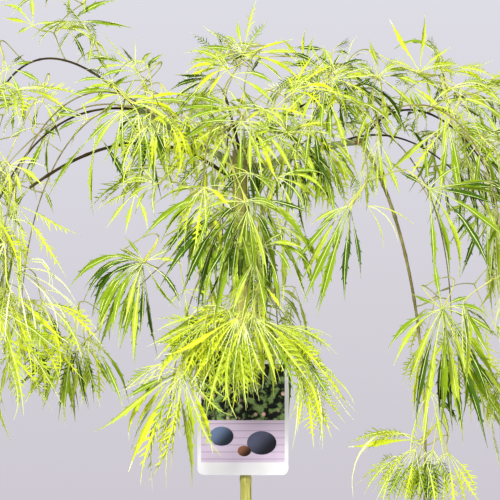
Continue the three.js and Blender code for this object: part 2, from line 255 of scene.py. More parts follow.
def turned(profile, turns):
    """A bmesh of a profile, in mm as radius and height, spun once round the upright axis."""
    shape = bmesh.new()
    corners = [shape.verts.new((radius * MM, 0.0, height * MM)) for radius, height in profile]
    edges = [shape.edges.new(pair) for pair in zip(corners, corners[1:])]
    bmesh.ops.spin(shape, geom=corners + edges, cent=(0, 0, 0), axis=(0, 0, 1),
                   angle=2 * math.pi, steps=turns, use_merge=True)
    bmesh.ops.remove_doubles(shape, verts=shape.verts, dist=1e-6)
    bmesh.ops.recalc_face_normals(shape, faces=shape.faces)
    return shape


def finished(name, mesh, finish, replaced=(), smooth=True):
    """A piece of the plant: a mesh in its finish, riding with the whole plant."""
    mesh.name = name
    mesh.materials.clear()
    mesh.materials.append(finish.material)
    if smooth:
        mesh.shade_smooth()
    piece = placed(name, mesh)
    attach(piece, "root")
    if replaced:
        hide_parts(*replaced)


pot_shape = turned(POT_PROFILE, POT_TURNS)
sharp = [e for e in pot_shape.edges if e.is_manifold and e.calc_face_angle() > SHARP]
bmesh.ops.bevel(pot_shape, geom=sharp, offset=EDGE_ROUND, offset_type="OFFSET", segments=2,
                profile=0.5, affect="EDGES", material=-1)

drill_shape = bmesh.new()
for hole in range(DRAIN_HOLES):
    turn = 2 * math.pi * hole / DRAIN_HOLES
    spot = Vector((math.cos(turn), math.sin(turn), 0.0)) * DRAIN_RING * MM
    made = bmesh.ops.create_cone(drill_shape, cap_ends=True, segments=20, radius1=DRAIN_RADIUS * MM,
                                 radius2=DRAIN_RADIUS * MM, depth=30 * MM)
    bmesh.ops.translate(drill_shape, verts=made["verts"], vec=spot)
drill, blank = placed("drill", mesh_from(drill_shape)), placed("pot_blank", mesh_from(pot_shape))
drilling = blank.modifiers.new("drain_holes", "BOOLEAN")
drilling.object, drilling.operation, drilling.solver = drill, "DIFFERENCE", "EXACT"
drilled = blank.evaluated_get(bpy.context.evaluated_depsgraph_get())
pot_mesh = bpy.data.meshes.new_from_object(drilled)
for shape in (drill, blank):
    bpy.data.objects.remove(shape)

pot_plastic = Finish("Grey pot plastic", Specular_IOR_Level=0.45)
scuffs = pot_plastic.spread(pot_plastic.grain(38.0, 6.0), 0.52, 0.7)
dust = pot_plastic.spread(pot_plastic.along("Z"), 0.06, 0.0) * pot_plastic.grain(60.0, 4.0)
pot_colour = pot_plastic.blend(scuffs * 0.5, tint(52, 54, 58), tint(74, 76, 80))
pot_plastic.feed("Base Color", pot_plastic.blend(dust * 0.8, pot_colour, tint(112, 100, 86)))
pot_plastic.feed("Roughness", 0.42 + scuffs * 0.2 + dust * 0.25)
pot_plastic.relief(pot_plastic.grain(900.0, 2.0), 0.0002, 0.5)
finished("nursery_pot", pot_mesh, pot_plastic, ["pot"])
for polygon in pot_mesh.polygons:  # the level faces of the foot and the floor stay flat
    polygon.use_smooth = abs(polygon.normal.z) < 0.98

# ---- potting mix ----
# Dark, damp peat and composted bark, tipped in by hand and settled a little below the rim; lumpy,
# with chips of bark and grains of white perlite lying loose on it.
mix_low, mix_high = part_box("potting_mix")
MIX_RADIUS = (pot_wall(147) - POT_WALL - 0.35) * MM
MIX_RINGS, MIX_TURNS = 34, 96
MIX_EDGE, MIX_CROWN = 147.0, 3.0  # how high it lies at the wall, and how much higher in the middle
MIX_LUMPS = 0.0022
BARE_FOOT = 0.014  # it lies flat round the stem's foot

mix_profile = [(0.0, mix_low.z / MM), (pot_wall(5) - POT_WALL - 0.6, mix_low.z / MM)]
for ring in range(MIX_RINGS + 1):
    inward = ring / MIX_RINGS
    rise = MIX_CROWN * min(1.0, inward * 1.4)
    mix_profile.append((MIX_RADIUS / MM * (1 - inward), MIX_EDGE + rise))
mix_shape = turned(mix_profile, MIX_TURNS)
for corner in mix_shape.verts:
    if corner.co.z > 0.1:
        away = min(1.0, corner.co.xy.length / BARE_FOOT)
        lump = noise.fractal(corner.co * 90.0, 1.0, 2.0, 5) + 0.5 * noise.noise(corner.co * 420.0)
        corner.co.z += MIX_LUMPS * away * lump
peat = Finish("Damp potting mix", Specular_IOR_Level=0.25)
crumbs = peat.cells(420.0)
fibres = peat.grain(260.0, 6.0)
peat_colour = peat.blend(peat.spread(fibres, 0.35, 0.65), tint(38, 26, 18), tint(84, 60, 42))
damp = peat.spread(peat.grain(30.0), 0.5, 0.7) * 0.6
peat.feed("Base Color", peat.blend(damp, peat_colour, tint(58, 42, 30)))
peat.feed("Roughness", 0.8 + fibres * 0.2)
peat.relief(crumbs + fibres * 0.6, 0.0018)
finished("potting_mix_bed", mesh_from(mix_shape), peat, ["potting_mix"])

draw = np.random.default_rng(41)


def unit(vectors):
    return vectors / np.maximum(np.linalg.norm(vectors, axis=-1, keepdims=True), 1e-12)


def joined_mesh(corners, faces):
    """One mesh from all the corners and faces of many small things."""
    mesh = bpy.data.meshes.new("shape")
    mesh.from_pydata(corners.reshape(-1, 3).tolist(), [], faces.tolist())
    mesh.update()
    return mesh


CUBE = np.array([(x, y, z) for z in (-1, 1) for y in (-1, 1) for x in (-1, 1)], float)
CUBE_FACES = np.array([
    (0, 2, 3, 1), (4, 5, 7, 6), (0, 1, 5, 4), (2, 6, 7, 3), (0, 4, 6, 2), (1, 3, 7, 5),
])


CHIP_SINK = 0.0012, 0.003  # a chip lies this much over the middle of the mix, and lower by the wall


def scattered_chips(count, half_sizes, ragged):
    """Loose chips lying on the mix, each a box knocked out of true and turned its own way."""
    radius = MIX_RADIUS * 0.96 * np.sqrt(draw.uniform(0.05, 1.0, count))
    turn = draw.uniform(0, 2 * math.pi, count)
    size = np.array(half_sizes) * MM * draw.uniform(0.5, 1.2, (count, 3))
    corners = CUBE[None] * size[:, None] * draw.uniform(1 - ragged, 1.0, (count, 8, 3))
    yaw, pitch = draw.uniform(0, math.pi, count), draw.normal(0, 0.35, count)
    x, y, z = corners[..., 0], corners[..., 1], corners[..., 2]
    c, s = np.cos(pitch)[:, None], np.sin(pitch)[:, None]
    x, z = x * c - z * s, x * s + z * c
    c, s = np.cos(yaw)[:, None], np.sin(yaw)[:, None]
    spots = np.stack([radius * np.cos(turn), radius * np.sin(turn), np.full(count, mix_high.z)], -1)
    spots[:, 2] += CHIP_SINK[0] - CHIP_SINK[1] * (radius / MIX_RADIUS) ** 3
    lying = np.stack([x * c - y * s, x * s + y * c, z], -1) + spots[:, None]
    faces = CUBE_FACES[None] + 8 * np.arange(count)[:, None, None]
    return joined_mesh(lying, faces.reshape(-1, 4))


chip_bark = Finish("Loose bark chips", Specular_IOR_Level=0.3)
chip_grain = chip_bark.grain(300.0, 5.0)
chip_bark.feed("Base Color", chip_bark.blend(chip_grain, tint(58, 36, 22), tint(132, 92, 60)))
chip_bark.feed("Roughness", 0.65 + chip_grain * 0.3)
chip_bark.relief(chip_grain, 0.0008)
chips = scattered_chips(420, (3.6, 1.9, 0.9), 0.45)
finished("bark_chips", chips, chip_bark, smooth=False)
perlite = Finish("Perlite", Roughness=0.9, Base_Color=tint(226, 224, 214))
perlite.relief(perlite.grain(1500.0), 0.0004)
grains = scattered_chips(150, (1.1, 1.0, 0.8), 0.5)
finished("perlite", grains, perlite, smooth=False)

# ---- stem ----
# One clean rootstock stem, trained straight up a cane that is now gone. Smooth yellow-green bark
# with fine pores and the rings of old leaf pairs, a root flare, and the knobbly graft just under
# the head.
SOIL, HEAD_HEIGHT = 0.150, 0.745
STEM_LENGTH = HEAD_HEIGHT - SOIL
STEM_FOOT, STEM_WAIST, STEM_HEAD, STEM_FLARE = 6.4 * MM, 4.1 * MM, 5.6 * MM, 12.0 * MM
WAIST_AT, SWELL_FROM, SWELL_TO = 0.58, 0.78, 0.97  # shares of the stem's length
FLARE_HEIGHT, GRAFT_HEIGHT = 0.022, 0.562


def curve_point(pulls, shares):
    """Points of a cubic curve with four pulls, at shares of its way."""
    s = np.asarray(shares, float)[..., None]
    a, b, c, d = pulls
    return (1 - s) ** 3 * a + 3 * (1 - s) ** 2 * s * b + 3 * (1 - s) * s * s * c + s**3 * d


def curve_way(pulls, shares):
    """Which way the curve runs there."""
    s = np.asarray(shares, float)[..., None]
    a, b, c, d = pulls
    return unit((1 - s) ** 2 * (b - a) + 2 * (1 - s) * s * (c - b) + s * s * (d - c))


stem_pulls = np.array([
    (0.0, 0.0, SOIL - 0.006),
    (0.006, 0.005, SOIL + STEM_LENGTH / 3),
    (-0.001, -0.004, SOIL + STEM_LENGTH * 2 / 3),
    (-0.004, 0.0, HEAD_HEIGHT),
])


def smooth_step(value, low, high):
    t = np.clip((value - low) / (high - low), 0, 1)
    return t * t * (3 - 2 * t)


def stem_radius(share):
    lower = STEM_FOOT + (STEM_WAIST - STEM_FOOT) * np.minimum(1, share / WAIST_AT)
    flare = (STEM_FLARE - STEM_FOOT) * np.exp(-3 * share * STEM_LENGTH / FLARE_HEIGHT)
    return lower + flare + (STEM_HEAD - STEM_WAIST) * smooth_step(share, SWELL_FROM, SWELL_TO)


def ripples(along, round_about, fine, seed):
    """Uneven relief from -1 to 1: a few waves along and round a limb, at odds with each other."""
    waves = np.random.default_rng(seed)
    total = np.zeros_like(along)
    for _ in range(7):
        turns = waves.integers(0, 5)
        pitch, shift = fine * waves.uniform(0.4, 2.2), waves.uniform(0, 7, 2)
        total += np.sin(along * pitch + shift[0]) * np.cos(turns * round_about + shift[1])
    return total / 4


def bent_rod(pulls, thickness, sides, rings, relief):
    """An upright cylinder bent ring by ring along a limb's curve, with the relief of its bark."""
    rod = bmesh.new()
    bmesh.ops.create_cone(rod, cap_ends=True, cap_tris=True, segments=sides,
                          radius1=1, radius2=1, depth=1)
    upright = [e for e in rod.edges if abs(e.verts[0].co.z - e.verts[1].co.z) > 0.5]
    bmesh.ops.subdivide_edges(rod, edges=upright, cuts=rings)
    mesh = mesh_from(rod)
    corners = np.empty(len(mesh.vertices) * 3)
    mesh.vertices.foreach_get("co", corners)
    corners = corners.reshape(-1, 3)
    share, turn = corners[:, 2] + 0.5, np.arctan2(corners[:, 1], corners[:, 0])
    way = curve_way(pulls, share)
    flat = np.cross(pulls[3] - pulls[0], (0, 0, 1.0))
    flat = flat / np.linalg.norm(flat) if np.linalg.norm(flat) > 0.01 else np.array((1.0, 0, 0))
    front = unit(np.cross(flat, way))
    across = np.cross(way, front)
    strides = np.diff(curve_point(pulls, np.linspace(0, 1, 60)), axis=0)
    length = np.linalg.norm(strides, axis=1).sum()
    out = np.hypot(corners[:, 0], corners[:, 1])
    radius = thickness(share) * (1 + relief(share * length, turn)) * out
    around = across * np.cos(turn)[:, None] + front * np.sin(turn)[:, None]
    corners = curve_point(pulls, share) + around * radius[:, None]
    mesh.vertices.foreach_set("co", corners.ravel())
    mesh.update()
    return mesh


OLD_LEAF_PAIRS = 0.055, 0.112, 0.176, 0.236, 0.291, 0.352, 0.402, 0.448, 0.492, 0.531


def stem_bark_relief(along, turn):
    """Old leaf rings, each with two scars, faint flutes, the graft's knobs, lobes at the foot."""
    rings = np.zeros_like(along)
    for number, height in enumerate(OLD_LEAF_PAIRS):
        gap = (along - height) / 0.0028
        scar = np.cos(turn + number * math.pi / 2) ** 8
        rings += np.exp(-(gap**2)) * (0.09 + 0.12 * scar) - 0.05 * np.exp(-((gap - 1.8) ** 2))
    flutes = 0.025 * np.cos(5 * turn + along * 9) + 0.012 * ripples(along, turn, 420.0, 3)
    graft = np.exp(-(((along - GRAFT_HEIGHT) / 0.016) ** 2))
    knobs = graft * (0.12 + 0.12 * ripples(along, turn, 260.0, 5))
    foot = 0.14 * np.cos(4 * turn + 0.6) * np.exp(-along / 0.016)
    return rings + flutes + knobs + foot


green_bark = Finish("Green stem bark", Specular_IOR_Level=0.4)
streaks = green_bark.grain(1.0, 5.0, green_bark.stretched((700.0, 700.0, 60.0)))
up_stem = green_bark.along("Z")
# the bark is darker and browner towards the head and just over the mix
darker_ends = green_bark.spread(up_stem, 0.66, 0.74) + green_bark.spread(up_stem, 0.2, 0.15)
pores = green_bark.cells(1.0, green_bark.stretched((420.0, 420.0, 160.0)))
pores = green_bark.spread(pores, 0.16, 0.08)
stem_colour = green_bark.spread(streaks, 0.3, 0.7)
stem_colour = green_bark.blend(stem_colour, tint(150, 148, 62), tint(198, 194, 104))
stem_colour = green_bark.blend(darker_ends * 0.8, stem_colour, tint(118, 108, 62))
green_bark.feed("Base Color", green_bark.blend(pores * 0.6, stem_colour, tint(206, 196, 140)))
green_bark.feed("Roughness", 0.42 + streaks * 0.25)
green_bark.relief(streaks + pores * 0.8, 0.0005)
stem_mesh = bent_rod(stem_pulls, stem_radius, 28, 420, stem_bark_relief)
finished("maple_stem", stem_mesh, green_bark, ["stem"])

# ---- label ----
# A stiff polypropylene card on a neck, die cut in one piece, with a strap round the stem. Its
# picture is a plain garden pattern: a hedge over paving with a few round stones, and no lettering.
card_low, card_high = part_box("label_card")
CARD_WIDTH, CARD_HEIGHT, CARD_THICK = 68 * MM, 86 * MM, 0.8 * MM
CARD_CORNER, NECK_WIDTH, CARD_BOW = 5 * MM, 10 * MM, 0.6 * MM
card_middle = (card_low.x + card_high.x) / 2


def bow(across):
    """How far the card has bowed, this far from its middle."""
    return CARD_BOW * (across / (CARD_WIDTH / 2)) ** 2


card_shape = bmesh.new()
bmesh.ops.create_grid(card_shape, x_segments=3, y_segments=1, size=0.5)
for corner in card_shape.verts:
    side = 1 if corner.co.x > 0 else -1
    width = NECK_WIDTH if abs(corner.co.x) < 0.4 else CARD_WIDTH
    corner.co = (side * width / 2, 0.0, (corner.co.y + 0.5) * CARD_HEIGHT)
top_edge = [e for e in card_shape.edges
            if all(v.co.z > CARD_HEIGHT * 0.9 and abs(v.co.x) < NECK_WIDTH for v in e.verts)]
neck = bmesh.ops.extrude_edge_only(card_shape, edges=top_edge)
for corner in neck["geom"]:
    if isinstance(corner, bmesh.types.BMVert):
        corner.co.z = card_high.z - card_low.z
outer = [v for v in card_shape.verts if abs(v.co.x) > NECK_WIDTH and len(v.link_edges) == 2]
bmesh.ops.bevel(card_shape, geom=outer, offset=CARD_CORNER, offset_type="OFFSET", segments=6,
                profile=0.5, affect="VERTICES", material=-1)
bmesh.ops.triangulate(card_shape, faces=card_shape.faces)
bmesh.ops.subdivide_edges(card_shape, edges=card_shape.edges, cuts=3, use_grid_fill=True)
for corner in card_shape.verts:
    corner.co.y = bow(corner.co.x)
bmesh.ops.recalc_face_normals(card_shape, faces=card_shape.faces)
bmesh.ops.solidify(card_shape, geom=card_shape.faces, thickness=CARD_THICK * 0.6)
for corner in card_shape.verts:
    corner.co += Vector((card_middle, card_low.y + 0.1 * MM, card_low.z))
bmesh.ops.recalc_face_normals(card_shape, faces=card_shape.faces)
card_face = min(v.co.y - bow(v.co.x - card_middle) for v in card_shape.verts)

card_print = Finish("Printed card", Specular_IOR_Level=0.3)
card_x = card_print.along("X") - card_middle
card_z = card_print.along("Z") - card_low.z
PICTURE_HALF, PICTURE_FOOT, PICTURE_TOP, HORIZON = 31.2 * MM, 9.5 * MM, 83.0 * MM, 41.0 * MM
in_picture = (abs(card_x) < PICTURE_HALF) * (card_z > PICTURE_FOOT) * (card_z < PICTURE_TOP)
from_face = card_print.along("Y") - card_face - bow(card_x)
in_picture = in_picture * (from_face < CARD_THICK * 0.3)  # printed on one side only
hedge_leaf = card_print.spread(card_print.grain(260.0, 8.0), 0.44, 0.62)
hedge = card_print.blend(hedge_leaf, tint(14, 18, 18), tint(120, 146, 84))
blossom = card_print.spread(card_print.cells(150.0), 0.34, 0.22)
blossom = blossom * card_print.spread(card_print.grain(34.0), 0.5, 0.6)
hedge = card_print.blend(blossom, hedge, tint(232, 190, 170))
joints = card_print.spread(abs(((card_z - 0.012) * 190.0) % 1.0 - 0.5), 0.44, 0.49)
paving = card_print.blend(joints, tint(196, 180, 200), tint(104, 92, 112))
paving = card_print.blend(card_print.grain(120.0, 4.0) * 0.5, paving, tint(168, 152, 176))
picture = card_print.blend(card_z > HORIZON, paving, hedge)
STONES = [  # middle and half width in mm, and shade
    (-16.0, 29.0, 9.0, (70, 82, 104)), (14.0, 24.0, 11.0, (58, 60, 76)),
    (1.0, 18.0, 5.0, (96, 64, 46)),
]
for x, z, half, shade in STONES:
    off_x, off_z = (card_x - x * MM) / (half * MM), (card_z - z * MM) / (half * 0.8 * MM)
    lit = card_print.spread((card_z - card_x) - (z - x - half * 0.9) * MM, 0.0, half * 1.8 * MM)
    under, over = (tint(*(c * strength for c in shade)) for strength in (0.45, 1.35))
    stone = card_print.blend(lit, under, over)
    picture = card_print.blend(off_x**2.0 + off_z**2.0 < 1.0, picture, stone)
card_print.feed("Base Color", card_print.blend(in_picture, tint(212, 212, 214), picture))
card_print.feed("Roughness", 0.28 + card_print.grain(60.0) * 0.12)
card_print.relief(card_print.grain(1400.0), 0.00008)
finished("picture_label", mesh_from(card_shape), card_print, ["label_card"],
         smooth=False)

strap_plastic = Finish("Label strap", Specular_IOR_Level=0.45)
strap_rub = strap_plastic.grain(240.0, 4.0)
strap_colour = strap_plastic.blend(strap_rub * 0.5, tint(244, 244, 240), tint(220, 220, 208))
strap_plastic.feed("Base Color", strap_colour)
strap_plastic.feed("Roughness", 0.3 + strap_rub * 0.2)
strap_plastic.relief(strap_plastic.grain(1400.0), 0.0001)
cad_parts["label_loop"].material_slots[0].material = strap_plastic.material

# ---- boughs ----
# Two short arms left where the leaders were cut back, and a ring of slender boughs that arch over
# and hang. Their bark is dark olive brown, tan on the young ones and grey green on the arms, and
# they are thickened at each old leaf pair.

# Each row: the limb it leaves and where; its direction from above; how far out and how high it
# ends; its pitch and pull at each end; its radii.
BOUGHS = {
    "arm_left": ("stem", 0.985, 180, 76, 775, (12, 30), (25, 30), (2.9, 1.9)),
    "arm_right": ("stem", 0.975, 0, 92, 751, (8, 30), (0, 30), (2.9, 2.3)),
    "left_high": ("arm_left", 1, 180, 132, 600, (45, 90), (-90, 250), (0.99, 0.61)),
    "left_low": ("arm_left", 1, 186, 128, 640, (8, 60), (-75, 110), (0.95, 0.61)),
    "left_thin": ("arm_left", 0.96, 170, 116, 722, (24, 50), (-50, 50), (0.65, 0.45)),
    "left_pruned": ("stem", 0.955, 190, 158, 716, (40, 78), (-36, 60), (1.44, 1.06)),
    "left_inner": ("stem", 0.93, 206, 122, 606, (-30, 55), (-45, 60), (0.66, 0.38)),
    "left_front": ("stem", 0.9, 226, 78, 530, (-5, 35), (-85, 90), (0.66, 0.38)),
    "right_high": ("arm_right", 1, 0, 122, 630, (62, 66), (-85, 130), (0.99, 0.61)),
    "right_low": ("arm_right", 0.76, 9, 118, 700, (26, 50), (-55, 55), (0.87, 0.53)),
    "right_tress": ("arm_right", 0.985, -6, 47, 470, (-56, 48), (-93, 150), (1.66, 0.83)),
    "front_tress": ("stem", 0.99, -66, 46, 622, (40, 40), (-88, 70), (0.66, 0.44)),
    "top_left": ("stem", 1, 150, 14, 790, (75, 12), (70, 10), (1.22, 0.84)),
    "top_right": ("stem", 0.99, 18, 64, 784, (50, 22), (10, 22), (1.14, 0.76)),
    "back_left": ("arm_left", 0.62, 136, 178, 600, (42, 82), (-89, 165), (0.76, 0.44)),
    "back_middle": ("stem", 0.985, 95, 182, 590, (44, 90), (-90, 190), (0.76, 0.44)),
    "back_inner": ("stem", 0.94, 72, 98, 560, (30, 50), (-88, 120), (0.71, 0.44)),
    "back_right": ("arm_right", 0.42, 45, 184, 600, (44, 85), (-90, 170), (0.76, 0.44)),
    "front_left": ("arm_left", 0.82, 226, 158, 620, (38, 80), (-90, 150), (0.71, 0.44)),
    "front_right": ("arm_right", 0.93, -48, 152, 640, (42, 78), (-90, 140), (0.71, 0.44)),
    "front_middle": ("stem", 0.975, -102, 124, 700, (45, 62), (-88, 80), (0.71, 0.44)),
}
BOUGH_NODE_SPACING = 0.034
BOUGH_RING = 0.0016  # its mesh has a ring this often


def heading(azimuth, pitch):
    turn, rise = math.radians(azimuth), math.radians(pitch)
    level = math.cos(rise)
    return np.array((math.cos(turn) * level, math.sin(turn) * level, math.sin(rise)))


limb_pulls = {"stem": stem_pulls}
for name, (on, at, azimuth, run, tip, leave, arrive, radii) in BOUGHS.items():
    root = curve_point(limb_pulls[on], at)
    end = root + heading(azimuth, 0) * run * MM
    end[2] = tip * MM
    first = root + heading(azimuth, leave[0]) * leave[1] * MM
    second = end - heading(azimuth, arrive[0]) * arrive[1] * MM
    limb_pulls[name] = np.array([root, first, second, end])


def bough_bark(name, gloss, fine_scale, colour_of, worn_share, worn, rough, depth):
    """Bark of a colour, with another tone in its fine grain, which is rougher and raised too."""
    bark = Finish(name, Specular_IOR_Level=gloss)
    fine = bark.grain(fine_scale, 4.0)
    bark.feed("Base Color", bark.blend(fine * worn_share, colour_of(bark), tint(*worn)))
    bark.feed("Roughness", rough + fine * 0.3)
    bark.relief(fine, depth)
    return bark


def patches(scale, one, other):
    """Broad patches of two tones."""

    def colour_of(bark):
        return bark.blend(bark.spread(bark.grain(scale), 0.4, 0.6), tint(*one), tint(*other))

    return colour_of


def arch_and_shoot(bark):
    """Dark patches over the arch, and olive ones on its hanging end, which is a year younger."""
    patch = bark.spread(bark.grain(46.0), 0.4, 0.62)
    arch = bark.blend(patch, tint(26, 16, 3), tint(52, 42, 8))
    shoot = bark.blend(patch, tint(104, 102, 44), tint(142, 142, 72))
    return bark.blend(bark.spread(bark.along("Z"), 0.735, 0.66), arch, shoot)


OLD_LIMBS = (
    "left_high", "left_low", "left_pruned", "right_high", "right_low", "top_left", "top_right",
    "back_middle",
)
dark_bark = bough_bark(
    "Olive brown bough bark", 0.16, 520.0, arch_and_shoot, 0.14, (120, 104, 44), 0.5, 0.0004)
young_bark = bough_bark(
    "Olive tan shoot bark", 0.4, 520.0, patches(60.0, (122, 116, 58), (160, 156, 92)),
    0.35, (92, 78, 38), 0.42, 0.0004)
grey_bark = bough_bark(
    "Grey green arm bark", 0.4, 420.0, patches(90.0, (108, 126, 78), (150, 158, 112)),
    0.4, (92, 84, 50), 0.5, 0.0005)

for number, (name, bough) in enumerate(BOUGHS.items()):
    root_radius, tip_radius = (radius * MM for radius in bough[-1])

    def bough_radius(share):
        return root_radius + (tip_radius - root_radius) * share**0.6

    def bough_relief(along, turn):
        phase = (along / BOUGH_NODE_SPACING + 0.37 * number) % 1.0
        swelling = np.exp(-(((phase - 0.5) * BOUGH_NODE_SPACING / 0.0022) ** 2))
        collar = 0.35 * np.exp(-along / 0.004)  # the thickening where it leaves its limb
        return 0.24 * swelling + collar + 0.05 * ripples(along, turn, 500.0, 20 + number)

    length = np.linalg.norm(limb_pulls[name][3] - limb_pulls[name][0])
    rod = bent_rod(limb_pulls[name], bough_radius, 10, int(length / BOUGH_RING), bough_relief)
    solids = (f"bough_{name}", f"bough_{name}_rise", f"bough_{name}_fall")
    replaced = [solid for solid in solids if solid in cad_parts]
    bark = grey_bark if name.startswith("arm") else dark_bark if name in OLD_LIMBS else young_bark
    finished(f"limb_{name}", rod, bark, replaced)

# ---- twigs ----
# Young wood no thicker than wire, olive and tan, that grows on from the boughs to every pair of
# leaves. Each pair is joined to the nearest wood already there, from above where it can be, and a
# twig is thicker the more leaves hang beyond it.
LEAF_PAIRS = {  # in each mass of leaves, over and above the foremost
    "left_crest": 2, "left_shoulder": 1, "left_inner": 1, "left_end_high": 3, "left_end_low": 4,
    "left_lock": 1, "left_front_lock": 0, "front_tuft": 0, "front_middle": 2, "top": 2,
    "right_shoulder": 3, "right_crest": 3, "right_end_high": 4, "right_inner": 0, "right_lock": 3,
    "right_lock_end": 1, "right_end_low": 4, "back_left": 13, "back_middle": 19, "back_right": 14,
    "back_inner": 7, "back_crest": 12, "front_left": 4, "front_right": 4, "front": 4,
}
# The gaps that can be seen right through from the front: middle and half size, in mm right and up.
OPEN_SKY = [
    (-62, 838, 38, 25), (22, 848, 22, 14), (100, 852, 30, 10), (182, 842, 42, 24),
    (-152, 822, 12, 6), (-128, 668, 25, 40), (-95, 690, 25, 20), (-132, 718, 11, 18),
    (-152, 692, 12, 18), (-64, 606, 10, 32), (-92, 555, 12, 34), (-130, 500, 52, 24),
    (-162, 542, 14, 20), (62, 500, 26, 32), (84, 590, 24, 58), (104, 656, 20, 34),
    (122, 688, 13, 24), (160, 660, 22, 18), (120, 744, 12, 14), (172, 502, 15, 48),
    (105, 556, 20, 20), (-10, 486, 70, 16), (-160, 802, 12, 7), (-106, 736, 8, 14),
    (-46, 652, 10, 22), (-62, 690, 8, 16), (62, 650, 20, 56), (26, 660, 10, 16), (30, 706, 9, 10),
    (-2, 534, 40, 36), (-166, 748, 10, 12), (-52, 806, 12, 12), (0, 792, 10, 10), (45, 846, 45, 22),
    (125, 848, 40, 22), (-30, 846, 22, 14), (96, 826, 14, 14), (174, 815, 24, 12),
    (-14, 652, 7, 14), (24, 806, 10, 12), (-166, 650, 12, 14), (-96, 796, 16, 12),
    (-56, 800, 14, 16), (170, 772, 10, 12), (-90, 538, 14, 18),
]
CROWN_AXIS = np.array((-0.002, 0.010, 0.0))
UP = np.array((0.0, 0.0, 1.0))

